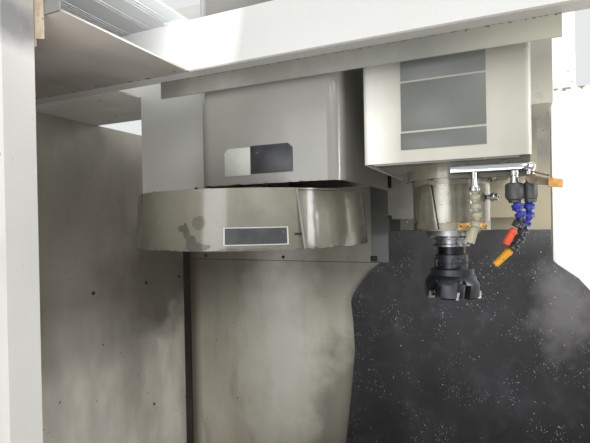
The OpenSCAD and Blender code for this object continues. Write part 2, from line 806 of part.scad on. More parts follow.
module head_casting() {
    color("#77756c") on_axis() difference() {
        union() {
            box([-cover_hw + 16, -cover_y + sheet_t, bore_top], [cover_hw - 16, plate_y - 162, casting_top]);
            // Lip under the right front of the cover
            box([lip_x, -cover_y + 8, nose_z + 82], [cover_hw - 2, -cover_y + 34, nose_z + cover_z]);
            box([-neck_hw, plate_y - 167, nose_z + 20], [neck_hw, plate_y, neck_top]);
            // Bar at the head's left side, bolted to its flank
            box([-bar_x - bar_w, 290, nose_z - 91], [-bar_x, 310, nose_z + 126]);
            box([-bar_x, 290, nose_z + 30], [-neck_hw + 5, 310, nose_z + 100]);
            // Carriage plate on the column
            box([-carriage_hw, plate_y, carriage_foot], [carriage_hw, plate_y + carriage_t, carriage_top]);
            for (x = [-rail_x, rail_x], z = head_truck_z)
                box([x - truck_w / 2, plate_y + carriage_t, z],
                    [x + truck_w / 2, column_front - truck_foot, z + truck_l]);
            box([-45, plate_y + carriage_t, nut_z], [45, column_front - 1.5, nut_z + nut_l + 20]);
        }
        translate([0, 0, nose_z]) cylinder(h = casting_top - nose_z + 1, r = cartridge_r + 0.1);
        for (x = [-rail_x, rail_x])
            box([x - rail_w / 2 - truck_gap, column_front - rail_h - truck_gap, carriage_foot - 1],
                [x + rail_w / 2 + truck_gap, column_front + 1, carriage_top + 1]);
        translate([0, z_screw_y, nut_z - 1]) cylinder(h = nut_l + 22, r = screw_d / 2 + nut_gap);
    }
}

module head_cover() {
    top = nose_z + cover_z + cover_h;
    color("#e2e0d3") on_axis() difference() {
        rounded_box([-cover_hw, -cover_y, nose_z + cover_z], [cover_hw, 200, top], cover_r);
        rounded_box([-cover_hw + sheet_t, -cover_y + sheet_t, nose_z + cover_z - 1],
            [cover_hw - sheet_t, 220, top - sheet_t], cover_r - sheet_t);
    }
}

module head_duct() {
    color("#d8d6ca") on_axis()
        box([cover_hw, 60, nose_z + 225], [cover_hw + duct_w, 200, duct_top]);
}

module spindle_cartridge() {
    color("#85837a") on_axis() rotate_extrude()
        polygon([[shaft_d / 2 + 0.08, nose_z + 24], [nose_shaft_r + 1, nose_z + 24],
            [nose_shaft_r + 1, nose_z + ring_h], [nose_r, nose_z + ring_h], [nose_r, flange_low],
            [flange_r, flange_low], [flange_r, bore_top], [cartridge_r, bore_top],
            [cartridge_r, casting_top], [shaft_d / 2 + 0.08, casting_top]]);
}

module coolant_ring() {
    color("#96958e") on_axis() difference() {
        translate([0, 0, nose_z]) cylinder(h = ring_h, r = nose_r);
        translate([0, 0, nose_z - 1]) cylinder(h = ring_h + 2, r = nose_shaft_r + 1);
        for (a = [22.5:45:360])
            rotate([0, 0, a]) translate([nose_r - 8, 0, nose_z - 1]) cylinder(h = 6, d = 4);
    }
}

module spindle_motor() {
    color("#33363a") on_axis() {
        translate([0, 0, casting_top]) cylinder(h = 14, d = motor_d + 16);
        translate([0, 0, casting_top + 14]) cylinder(h = motor_h, d = motor_d);
        translate([0, 0, casting_top + 14 + motor_h]) cylinder(h = 20, d = motor_d - 30);
    }
}

module spindle_shaft() {
    face_z = nose_z - face_drop;
    slope = 3.5 / 24;
    color("#a4a5a3") on_axis() difference() {
        union() {
            translate([0, 0, face_z]) cylinder(h = 24 + face_drop - 1, r = nose_shaft_r);
            translate([0, 0, face_z + 20]) cylinder(h = casting_top - face_z - 21, d = shaft_d);
        }
        translate([0, 0, face_z - 0.01]) cylinder(h = 72, r1 = 22.4, r2 = 22.4 - 72 * slope);
        translate([0, 0, face_z + 70]) cylinder(h = 40, r = 12);
    }
}

module tool_holder() {
    r = tool_flange_d / 2;
    mid = groove_z;
    slope = 3.5 / 24;
    color("#8d9092") on_axis() rotate_extrude()
        polygon([[0, arbor_z], [holder_d / 2, arbor_z], [holder_d / 2, flange_z], [r, flange_z],
            [r, mid - 4.6], [r - 4.6, mid - 3.6], [r - 4.6, mid + 3.6], [r, mid + 4.6],
            [r, nose_z - flange_top], [22.2, nose_z - flange_top], [22.2, nose_z - face_drop],
            [22.2 - 66 * slope, nose_z - face_drop + 66], [8, nose_z - face_drop + 66],
            [8, nose_z - face_drop + 88], [0, nose_z - face_drop + 88]]);
}

module face_mill() {
    body_h = mill_h - 14;
    color("#3c3d3f") on_axis() difference() {
        rotate_extrude()
            polygon([[0, mill_z], [mill_d / 2 - 4, mill_z], [mill_d / 2 - 1, mill_z + 4],
                [mill_d / 2 - 1, mill_z + body_h], [arbor_d / 2 + 10, mill_z + mill_h],
                [arbor_d / 2 + 10, mill_top], [arbor_d / 2, mill_top], [arbor_d / 2, arbor_z],
                [0, arbor_z]]);
        for (i = [0:insert_count - 1])
            rotate([0, 0, (i + 0.5) * 360 / insert_count])
                box([mill_d / 2 - 16, -9, mill_z - 1], [mill_d / 2 + 5, 9, mill_z + 24]);
    }
}

module mill_inserts() {
    color("#b08d3c") on_axis()
        for (i = [0:insert_count - 1])
            rotate([0, 0, (i + 0.5) * 360 / insert_count])
                box([mill_d / 2 - 13, -9, mill_z - 0.5], [mill_d / 2, -4, mill_z + 13]);
}

module apron() {
    top = nose_z - 14;
    hw = carriage_hw - 1;
    flare = apron_flare - hw;
    // Its left edge from the top down, as shares of the flare and drops below the top
    edge = [[0, 0], [0, 76], [0.12, 90], [0.5, 123], [0.78, 163], [0.96, 196], [1, 214], [0.95, 281],
        [0.92, 360], [1.04, 500], [1.27, apron_h]];
    color("#2c2b2b") on_axis()
        translate([0, apron_y + apron_t, 0]) rotate([90, 0, 0]) linear_extrude(apron_t)
            polygon([for (p = edge) [-hw - flare * p[0], top - p[1]],
                for (i = [len(edge) - 1:-1:0]) [hw + flare * edge[i][0], top - edge[i][1]]]);
}

module coolant_manifold() {
    end_x = hose_c_x + 14;
    elbow_r = 16;
    color("#c9cbcc") on_axis() {
        translate([8, -bar_y, tube_z]) rotate([0, 90, 0]) cylinder(h = end_x - 8, d = tube_d);
        translate([end_x, -bar_y + elbow_r, tube_z]) rotate([0, 0, -90])
            rotate_extrude(angle = 90) translate([elbow_r, 0]) circle(d = tube_d);
        translate([end_x + elbow_r, -bar_y + elbow_r, tube_z]) rotate([-90, 0, 0])
            cylinder(h = 255 + bar_y - elbow_r, d = tube_d);
        for (x = [24, 80])
            box([x - 6, -bar_y, tube_z - tube_d / 2 - 2], [x + 6, -cover_y + 8, tube_z + tube_d / 2 + 2]);
        translate([hose_a_x, -bar_y, valve_z + 4]) cylinder(h = tube_z - valve_z - 4, d = 13);
        translate([hose_a_x, -bar_y, valve_z + 10]) cylinder(h = 12, d = 18, $fn = 6);
    }
}

module coolant_valves() {
    color("#4b4d4f") on_axis()
        for (x = [hose_b_x, hose_c_x]) {
            translate([x, -bar_y, valve_z]) cylinder(h = tube_z - tube_d / 2 - valve_z, d = 15);
            translate([x, -bar_y - 9, lever_z]) rotate([-90, 0, 0]) cylinder(h = 16, d = 14);
        }
}

// One hose of linked sockets along a bend, each socket after the first with a ball at its root
module hose(h, count) {
    translate(h[0] - [0, 0, hose_stub / 2]) cylinder(h = hose_stub, r = hose_d * 0.35, $fn = 32);
    for (i = [0:count - 1]) {
        p = bend(h[0], h[1], h[2], i / count);
        q = bend(h[0], h[1], h[2], (i + 1) / count);
        aim(p, q) {
            cylinder(h = norm(q - p), r1 = hose_d * 0.4, r2 = hose_d / 2, $fn = 32);
            if (i > 0)
                sphere(d = hose_d * 0.86, $fn = 32);
        }
    }
}

module coolant_hoses() {
    color("#3f5fb5") on_axis() {
        hose(hose_a, 5);
        hose(hose_b, 4);
        hose(hose_c, 6);
    }
}

// A nozzle that carries on in the direction of a hose's last socket
module nozzle(h, count, length, tip_r) {
    last = h[2] - bend(h[0], h[1], h[2], (count - 1) / count);
    aim(h[2], h[2] + last) translate([0, 0, 0.3]) cylinder(h = length, r1 = hose_d / 2, r2 = tip_r, $fn = 32);
}

module hose_nozzles() {
    color("#e0a021") on_axis() {
        nozzle(hose_a, 5, 16, 4);
        nozzle(hose_b, 4, 24, 3.5);
        nozzle(hose_c, 6, 24, 3.5);
    }
}

module valve_lever() {
    color("#d97a2b") on_axis() {
        translate([hose_c_x, -bar_y - 9.3, lever_z]) rotate([90, 0, 0]) cylinder(h = 5, d = 12);
        box([hose_c_x, -bar_y - 13.8, lever_z - 4], [hose_c_x + 40, -bar_y - 10.3, lever_z + 4]);
    }
}

module door_leaf() {
    x0 = window_x - door_w / 2;
    x1 = window_x + door_w / 2;
    z0 = door_foot;
    z1 = z0 + door_h;
    rim = 30;
    difference() {
        union() {
            box([x0, -door_y - door_t, z0], [x1, -door_y, z1]);
            for (x = [x0 + 60, x1 - 120])
                box([x, -door_y - door_t + 8, z1], [x + 60, -door_y - 8, track_top - 16.3]);
        }
        box([window_x - window_w / 2, -door_y - door_t - 1, window_z - window_h / 2],
            [window_x + window_w / 2, -door_y + 1, window_z + window_h / 2]);
        box([window_x - window_w / 2 - pane_lap, -door_y - 14, window_z - window_h / 2 - pane_lap],
            [window_x + window_w / 2 + pane_lap, -door_y + 1, window_z + window_h / 2 + pane_lap]);
        // Hollow back between the folded rim and the window's surround
        difference() {
            box([x0 + rim, -door_y - door_t + sheet_t, z0 + rim], [x1 - rim, -door_y + 1, z1 - rim]);
            box([window_x - window_w / 2 - rim, -door_y - door_t, window_z - window_h / 2 - rim],
                [window_x + window_w / 2 + rim, -door_y + 2, window_z + window_h / 2 + rim]);
        }
    }
    // Handle on two posts
    hx = x1 - 42;
    hy = -door_y - door_t - handle_gap;
    hz = window_z - 90 - handle_h / 2;
    box([hx - handle_d / 2, hy - 12, hz], [hx + handle_d / 2, hy, hz + handle_h]);
    for (z = [hz, hz + handle_h - handle_d])
        box([hx - handle_d / 2, hy, z], [hx + handle_d / 2, -door_y - door_t, z + handle_d]);
}

module door_pane() {
    box([window_x - window_w / 2 - pane_lap + 0.3, -door_y - 14, window_z - window_h / 2 - pane_lap + 0.3],
        [window_x + window_w / 2 + pane_lap - 0.3, -door_y - 14 + pane_t, window_z + window_h / 2 + pane_lap - 0.3]);
}

module left_door() color("#e8e7e2") on_axis() door_leaf();
module right_door() color("#e8e7e2") on_axis() mirror([1, 0, 0]) door_leaf();
module left_window() color("#9fb4bb", 0.4) on_axis() door_pane();
module right_window() color("#9fb4bb", 0.4) on_axis() mirror([1, 0, 0]) door_pane();

module pendant_arm() {
    bar_z = track_top + 14;
    color("#55565a") on_axis() {
        translate([pivot_x, -pivot_y, track_top - 10]) cylinder(h = 34, d = pivot_d);
        translate([pivot_x, -pivot_y, track_top + 10.3]) cylinder(h = 30, d = pivot_d + 30);
        box([pendant_x - 20, -pivot_y - 20, bar_z], [pivot_x, -pivot_y + 20, bar_z + 22]);
        translate([pendant_x, -pivot_y, pendant_z + pendant_h])
            cylinder(h = bar_z - pendant_z - pendant_h + 4, d = 44);
    }
}

module pendant_box() {
    x0 = pendant_x - pendant_w / 2;
    y0 = -pendant_y;
    color("#c9c8c0") on_axis() difference() {
        rounded_box([x0, y0, pendant_z], [x0 + pendant_w, y0 + pendant_d, pendant_z + pendant_h], 14);
        // Screen recess and key panel
        box([x0 + 30, y0 - 1, pendant_z + pendant_h - 205], [x0 + 250, y0 + 5, pendant_z + pendant_h - 40]);
        box([x0 + 30, y0 - 1, pendant_z + 120], [x0 + 250, y0 + 2, pendant_z + pendant_h - 225]);
        translate([stop_x, y0 - 1, stop_z]) rotate([-90, 0, 0]) cylinder(h = 31, d = 20.16);
        for (x = [start_x, hold_x])
            translate([x, y0 - 1, stop_z]) rotate([-90, 0, 0]) cylinder(h = 21, d = 16.16);
        translate([wheel_x, y0 - 1, wheel_z]) rotate([-90, 0, 0]) cylinder(h = 31, d = 12.16);
    }
}

module emergency_stop() {
    color("#c21f1a") on_axis() translate([stop_x, -pendant_y, stop_z]) rotate([90, 0, 0]) {
        translate([0, 0, -20]) cylinder(h = 30, d = 20);
        translate([0, 0, 10]) cylinder(h = 16, d1 = 40, d2 = 36);
    }
}

module panel_button() rotate([90, 0, 0]) {
    translate([0, 0, -12]) cylinder(h = 18, d = 16);
    translate([0, 0, 6]) cylinder(h = 6, d = 24);
}

module cycle_start() color("#2f9a48") on_axis() translate([start_x, -pendant_y, stop_z]) panel_button();
module feed_hold() color("#d6a01c") on_axis() translate([hold_x, -pendant_y, stop_z]) panel_button();

module jog_handwheel() {
    color("#37383a") on_axis() translate([wheel_x, -pendant_y, wheel_z]) rotate([90, 0, 0]) {
        translate([0, 0, -25]) cylinder(h = 31, d = 12);
        translate([0, 0, 5]) cylinder(h = 14, d = 70);
        translate([24, 0, 19]) cylinder(h = wheel_reach - 19, d1 = 12, d2 = 16);
    }
}

module electrical_cabinet() {
    color("#dad9d1") on_axis() difference() {
        union() {
            box([-cabinet_w / 2, cabinet_y, cabinet_z],
                [cabinet_w / 2, cabinet_y + cabinet_d, cabinet_z + cabinet_h]);
            for (x = [-column_w / 2, column_w / 2 - cast_t], z = [cabinet_z + 60, cabinet_z + cabinet_h - 140])
                box([x, column_front + column_d, z], [x + cast_t, cabinet_y, z + 80]);
            // Fixed knuckles and pins of the door's hinges
            for (z = hinge_z) {
                for (k = [0, 3 * knuckle_h + 0.6]) {
                    translate([hinge_x, hinge_y, z + k]) cylinder(h = knuckle_h, r = knuckle_r);
                    box([hinge_x, hinge_y - knuckle_r, z + k],
                        [-cabinet_w / 2, cabinet_y + cabinet_d, z + k + knuckle_h]);
                }
                translate([hinge_x, hinge_y, z]) cylinder(h = 4 * knuckle_h + 0.6, r = hinge_pin_r);
            }
        }
        box([-cabinet_w / 2 + sheet_t, cabinet_y + sheet_t, cabinet_z + sheet_t],
            [cabinet_w / 2 - sheet_t, cabinet_y + cabinet_d + 1, cabinet_z + cabinet_h - sheet_t]);
        translate([cabinet_w / 2 - 120, cabinet_y + cabinet_d / 2, cabinet_z + cabinet_h - sheet_t - 1])
            cylinder(h = sheet_t + 2, d = inlet_d);
        translate([cabinet_w / 2 - sheet_t - 1, switch_y, switch_z])
            rotate([0, 90, 0]) cylinder(h = sheet_t + 2, d = 20.16);
    }
}

module drive_rack() {
    left = -cabinet_w / 2 + 80;
    y = cabinet_y + sheet_t + rack_t;
    top = cabinet_z + cabinet_h;
    pitch = (cabinet_w - 2 * 80 - drive_w) / 3;
    color("#8c9196") on_axis() {
        box([left - 40, y - rack_t, cabinet_z + 60], [-left + 40, y, top - 60]);
        for (i = [0:3])
            box([left + i * pitch, y, top - cabinet_h * 0.37], [left + i * pitch + drive_w, y + cabinet_d * 0.6, top - 160]);
        box([left, y, cabinet_z + cabinet_h * 0.1], [-left, y + 56, cabinet_z + cabinet_h * 0.17]);
        box([left, y, cabinet_z + cabinet_h * 0.285], [-left, y + 76, cabinet_z + cabinet_h * 0.37]);
    }
}

module cabinet_door() {
    y = cabinet_y + cabinet_d + 0.3;
    color("#dcdbd3") on_axis() difference() {
        union() {
            box([-cabinet_w / 2, y, cabinet_z + 1], [cabinet_w / 2, y + door_sheet, cabinet_z + cabinet_h - 1]);
            for (z = hinge_z) {
                translate([hinge_x, hinge_y, z + knuckle_h + 0.3]) cylinder(h = 2 * knuckle_h, r = knuckle_r);
                box([hinge_x, y, z + knuckle_h + 0.3], [-cabinet_w / 2, y + door_sheet, z + 3 * knuckle_h + 0.3]);
            }
        }
        for (z = hinge_z)
            translate([hinge_x, hinge_y, z]) cylinder(h = 4 * knuckle_h + 1, r = hinge_pin_r + 0.06);
        // Air slots at the foot of the door
        for (i = [0:5])
            box([cabinet_w / 2 - 260, y - 1, cabinet_z + 120 + i * 24],
                [cabinet_w / 2 - 100, y + 6, cabinet_z + 130 + i * 24]);
    }
}

module disconnect_handle() {
    color("#2a2b2d") on_axis() translate([cabinet_w / 2, switch_y, switch_z]) rotate([0, 90, 0]) {
        translate([0, 0, -20]) cylinder(h = 32, d = 20);
        translate([0, 0, 0.3]) cylinder(h = 12, d = 64);
        box([-40, -9, 12], [40, 9, 30]);
    }
}

base_casting();
levelling_feet();
column();
guide_rails();
chip_pan();
side_walls();
back_wall();
front_panels();
front_apron();
roof_panels();
rear_shelf();
header_beam();
splash_plate();
corner_strips();
door_track();
feed_motors();
z_motor_mount();
changer_bracket();
changer_housing();
electrical_cabinet();
drive_rack();
z_screw();
y_screw();
x_screw();
saddle();
x_rails();
x_motor();
table();
head_casting();
head_cover();
head_duct();
spindle_cartridge();
coolant_ring();
spindle_motor();
apron();
coolant_manifold();
coolant_valves();
coolant_hoses();
hose_nozzles();
valve_lever();
spindle_shaft();
tool_holder();
face_mill();
mill_inserts();
changer_carriage();
carousel_skirt();
carousel_disc();
carousel_shutter();
left_door();
left_window();
right_door();
right_window();
pendant_arm();
pendant_box();
emergency_stop();
cycle_start();
feed_hold();
jog_handwheel();
cabinet_door();
disconnect_handle();
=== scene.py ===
"""Visual model of a vertical machining centre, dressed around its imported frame.

Lengths are metres in the frame's own axes. Places near the spindle are written in
millimetres from the spindle's nose, with X to the right, Y to the back and Z up.
"""

import logging
import math
from dataclasses import dataclass
from enum import Enum
from functools import partial
from typing import Callable, Iterable, Sequence

import bpy
from mathutils import Matrix, Vector


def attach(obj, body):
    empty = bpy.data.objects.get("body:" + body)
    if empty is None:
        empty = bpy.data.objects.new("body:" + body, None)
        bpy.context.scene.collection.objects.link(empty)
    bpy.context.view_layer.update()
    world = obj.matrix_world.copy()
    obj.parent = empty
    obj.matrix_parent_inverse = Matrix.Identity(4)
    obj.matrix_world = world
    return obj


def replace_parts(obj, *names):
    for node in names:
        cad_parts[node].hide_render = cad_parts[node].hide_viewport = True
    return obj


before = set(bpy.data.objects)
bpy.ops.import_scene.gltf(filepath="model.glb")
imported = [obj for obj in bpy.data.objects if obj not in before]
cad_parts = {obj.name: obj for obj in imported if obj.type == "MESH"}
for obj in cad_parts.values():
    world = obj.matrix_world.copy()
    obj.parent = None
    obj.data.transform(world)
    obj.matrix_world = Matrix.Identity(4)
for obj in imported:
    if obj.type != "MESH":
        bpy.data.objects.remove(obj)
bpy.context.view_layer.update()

LOG = logging.getLogger("machining_centre")
MM = 0.001
SPINDLE_Y = -0.280
NOSE_Z = 1.490
EVEN = (1.0, 1.0, 1.0)
ORIGIN = Vector((0, 0, 0))
UP = Vector((0, 0, 1))
FRONTWARD = Vector((0, -1, 0))
Pair = tuple[float, float]
Point = tuple[float, float, float]
Piece = bpy.types.Object
Socket = bpy.types.NodeSocket
Paints = dict[str, bpy.types.Material]


def spot(x: float, y: float, z: float) -> Vector:
    """Turn millimetres from the spindle nose into a place in metres."""
    return Vector((x * MM, y * MM + SPINDLE_Y, z * MM + NOSE_Z))


def above_floor(x: float, y: float, z: float) -> Vector:
    """Turn millimetres in the machine's own frame into a place in metres."""
    return Vector((x * MM, y * MM, z * MM))


def facing(place: Vector, ahead: Vector, axis: str = "Z") -> Matrix:
    """Give the move from the origin to a place that turns an axis to a direction."""
    return Matrix.Translation(place) @ ahead.to_track_quat(axis, "Y").to_matrix().to_4x4()


def shifts(places: Iterable[float]) -> list[Matrix]:
    """Give the moves to places along X, in metres."""
    return [Matrix.Translation((x, 0, 0)) for x in places]


def linear(hex_colour: str) -> tuple[float, ...]:
    """Turn an sRGB hex colour into Blender's linear red, green, blue and alpha."""
    channels = [int(hex_colour[i : i + 2], 16) / 255 for i in (1, 3, 5)]
    return (*(c / 12.92 if c <= 0.04045 else ((c + 0.055) / 1.055) ** 2.4 for c in channels), 1.0)


def add_node(
    tree: bpy.types.NodeTree, kind: str, inputs: dict[str | int, object] | None = None, **settings: object
) -> bpy.types.Node:
    """Add a node with its settings, values and links.

    Args:
        tree: The node tree that gets the node.
        kind: Blender's name for the node type, without ShaderNode.
        inputs: Socket name or number to a value or to the socket that feeds it.
        **settings: Properties of the node itself.

    Returns:
        The new node.
    """
    made = tree.nodes.new(f"ShaderNode{kind}")
    for name, value in settings.items():
        setattr(made, name, value)
    for key, value in (inputs or {}).items():
        if isinstance(value, Socket):
            tree.links.new(value, made.inputs[key])
        else:
            made.inputs[key].default_value = value
    return made


class Axis(Enum):
    """The frame's axes, as numbers for a vector's parts."""

    X = 0
    Y = 1
    Z = 2


@dataclass(frozen=True)
class Mottle:
    """A soft change of colour over the surface."""

    tint: str
    size_mm: float  # width of a blotch
    amount: float
    stretch: Point = EVEN  # how much longer a blotch is along each axis
    start: float = 0.42  # noise level at which it begins
    stop: float = 0.68  # noise level at which it is full


@dataclass(frozen=True)
class Specks:
    """Small hard spots, such as chips of paint or drops of dirt."""

    tint: str
    size_mm: float  # distance between spots
    level: float = 0.70  # noise level above which a spot shows
    stretch: Point = EVEN
    rough: float = 0.7
    cluster_mm: float = 0.0  # width of the areas in which spots gather, 0 for all over


@dataclass(frozen=True)
class Fade:
    """A gradual change along one axis, from start to stop in metres."""

    tint: str
    axis: Axis
    start: float
    stop: float
    amount: float


@dataclass(frozen=True)
class Patch:
    """One bare, stained, painted-light or painted-shadow place with a ragged outline."""

    tint: str
    centre: Vector
    radii: Point
    ragged: float = 0.35  # how far the outline wanders, as a share of its size
    amount: float = 1.0
    soft: float = 0.04  # width of its border, as a share of its size


@dataclass(frozen=True)
class Edge:
    """Chips along a straight edge."""

    tint: str
    axis: Axis  # the axis across the edge
    place: float
    width_mm: float  # how far the chips reach in
    size_mm: float = 12.0
    level: float = 0.55


@dataclass(frozen=True)
class Band:
    """A stripe across one axis, such as the underside of a folded sheet."""

    tint: str
    axis: Axis
    start: float
    stop: float
    amount: float = 1.0


@dataclass(frozen=True)
class Finish:
    """One finish: what it is made of, and the layers of dirt, wear and painted light and shade on it."""

    name: str
    base: str
    rough: float
    relief: Pair = (0.0, 4.0)  # height and width of the surface's texture, in millimetres
    layers: tuple[Mottle | Specks | Fade | Patch | Edge | Band, ...] = ()
    metallic: float = 0.0
    ior: float = 1.5
    coat: float = 0.0
    grain_stretch: Point = EVEN
    rough_spread: float = 0.08
    see_through: float = 0.0

    def build(self) -> bpy.types.Material:
        """Make the material."""
        material = bpy.data.materials.new(self.name)
        material.use_nodes = True
        material.diffuse_color = linear(self.base)
        Painter(self, material.node_tree).paint()
        return material


class Painter:
    """Builds the node tree of one finish on the object's own coordinates."""

    hard = 0.03  # noise step across the border of a speck or chip
    gather = (0.48, 0.60)  # noise levels between which specks begin to gather
    chipped = 0.2  # noise level that a chip needs more, away from the very edge
    border = 0.0002  # half width of a band's border, in metres

    def __init__(self, finish: Finish, tree: bpy.types.NodeTree) -> None:
        """Start from an empty tree.

        Args:
            finish: The finish to build.
            tree: The material's node tree.
        """
        self.finish, self.tree = finish, tree
        tree.nodes.clear()
        self.place = add_node(tree, "TexCoord").outputs["Object"]
        self.colour: object = linear(finish.base)
        self.rough: object = finish.rough

    def grain(
        self, size_mm: float, stretch: Point = EVEN, detail: float = 4.0, rough: float = 0.55
    ) -> Socket:
        """Give a noise pattern of a real size, from 0 to 1.

        Args:
            size_mm: Width of one feature.
            stretch: How much longer a feature is along each axis.
            detail: Layers of finer noise.
            rough: Strength of the finer layers.

        Returns:
            The pattern's socket.
        """
        scale = tuple(1000.0 / size_mm / s for s in stretch)
        mapped = add_node(self.tree, "Mapping", {"Vector": self.place, "Scale": scale})
        inputs = {"Vector": mapped.outputs[0], "Scale": 1.0, "Detail": detail, "Roughness": rough}
        return add_node(self.tree, "TexNoise", inputs).outputs[0]

    def ramp(self, value: Socket, low: float, high: float, top: float = 1.0) -> Socket:
        """Spread a value from low to high over 0 to top."""
        inputs = {"Value": value, "From Min": low, "From Max": high, "To Min": 0.0, "To Max": top}
        return add_node(self.tree, "MapRange", inputs).outputs[0]

    def combine(self, first: Socket, second: object, operation: str = "MULTIPLY") -> Socket:
        """Combine two values by an operation."""
        return add_node(self.tree, "Math", {0: first, 1: second}, operation=operation).outputs[0]

    def cover(self, mask: Socket, tint: str, rough: float | None = None) -> None:
        """Lay a colour over what is there.

        Args:
            mask: Where it goes, from 0 to 1.
            tint: The colour.
            rough: Roughness there, or None to keep it.
        """
        mixed = add_node(self.tree, "Mix", {0: mask, 6: self.colour, 7: linear(tint)}, data_type="RGBA")
        self.colour = mixed.outputs[2]
        if rough is not None:
            self.rough = add_node(
                self.tree, "Mix", {0: mask, 2: self.rough, 3: rough}, data_type="FLOAT"
            ).outputs[0]

    def along(self, axis: Axis) -> Socket:
        """Give the coordinate on one axis."""
        return add_node(self.tree, "SeparateXYZ", {0: self.place}).outputs[axis.value]

    def lay(self, layer: Mottle | Specks | Fade | Patch | Edge | Band) -> None:
        """Add one layer of dirt, wear, or painted light or shade.

        Args:
            layer: The layer to add.
        """
        if isinstance(layer, Mottle):
            mask = self.ramp(self.grain(layer.size_mm, layer.stretch), layer.start, layer.stop, layer.amount)
            self.cover(mask, layer.tint, min(1.0, self.finish.rough + 0.15))
        elif isinstance(layer, Specks):
            spots = self.grain(layer.size_mm, layer.stretch, 2.0, 0.4)
            mask = self.ramp(spots, layer.level, layer.level + self.hard)
            if layer.cluster_mm:
                areas = self.ramp(self.grain(layer.cluster_mm, detail=2.0), *self.gather)
                mask = self.combine(mask, areas)
            self.cover(mask, layer.tint, layer.rough)
        elif isinstance(layer, Fade):
            self.cover(self.ramp(self.along(layer.axis), layer.start, layer.stop, layer.amount), layer.tint)
        elif isinstance(layer, Patch):
            self.cover(self.patch(layer), layer.tint, 0.65)
        elif isinstance(layer, Band):
            place, border = self.along(layer.axis), self.border
            above = self.ramp(place, layer.start - border, layer.start + border, layer.amount)
            below = self.ramp(place, layer.stop + border, layer.stop - border)
            self.cover(self.combine(above, below), layer.tint)
        else:
            away = self.combine(self.along(layer.axis), layer.place, "SUBTRACT")
            near = self.ramp(self.combine(away, 0.0, "ABSOLUTE"), layer.width_mm * MM, 0.0)
            chips = self.combine(self.grain(layer.size_mm, detail=3.0), self.combine(near, 0.35), "ADD")
            level = layer.level + self.chipped
            chips = self.ramp(chips, level, level + self.hard)
            self.cover(self.combine(chips, self.ramp(near, 0.0, 0.02)), layer.tint, 0.7)

    def patch(self, layer: Patch) -> Socket:
        """Give the mask of one ragged place.

        Args:
            layer: The place.

        Returns:
            The mask's socket.
        """
        moved = add_node(self.tree, "VectorMath", {0: self.place, 1: layer.centre}, operation="SUBTRACT")
        inputs = {0: moved.outputs[0], 1: tuple(1 / r for r in layer.radii)}
        scaled = add_node(self.tree, "VectorMath", inputs, operation="MULTIPLY")
        far = add_node(self.tree, "VectorMath", {0: scaled.outputs[0]}, operation="LENGTH").outputs["Value"]
        wander = self.combine(self.grain(800 * sorted(layer.radii)[1]), 0.5, "SUBTRACT")
        wander = self.combine(wander, 2 * layer.ragged)
        return self.ramp(self.combine(far, wander, "ADD"), 1.0 + layer.soft, 1.0 - layer.soft, layer.amount)

    def paint(self) -> None:
        """Build the whole tree."""
        finish = self.finish
        for layer in finish.layers:
            self.lay(layer)
        spread = self.combine(self.ramp(self.grain(45.0), 0.3, 0.7), 0.5, "SUBTRACT")
        inputs = {0: self.combine(spread, finish.rough_spread), 1: self.rough}
        uneven = add_node(self.tree, "Math", inputs, operation="ADD", use_clamp=True)
        shader = add_node(self.tree, "BsdfPrincipled", {
            "Base Color": self.colour, "Roughness": uneven.outputs[0], "Metallic": finish.metallic,
            "IOR": finish.ior, "Coat Weight": finish.coat, "Coat Roughness": 0.08,
            "Transmission Weight": finish.see_through,
        })
        height, width = finish.relief
        if height:
            grain = self.grain(width, finish.grain_stretch, 3.0)
            bump = add_node(self.tree, "Bump", {"Height": grain, "Distance": height * MM, "Strength": 1.0})
            self.tree.links.new(bump.outputs[0], shader.inputs["Normal"])
        add_node(self.tree, "OutputMaterial", {0: shader.outputs[0]})


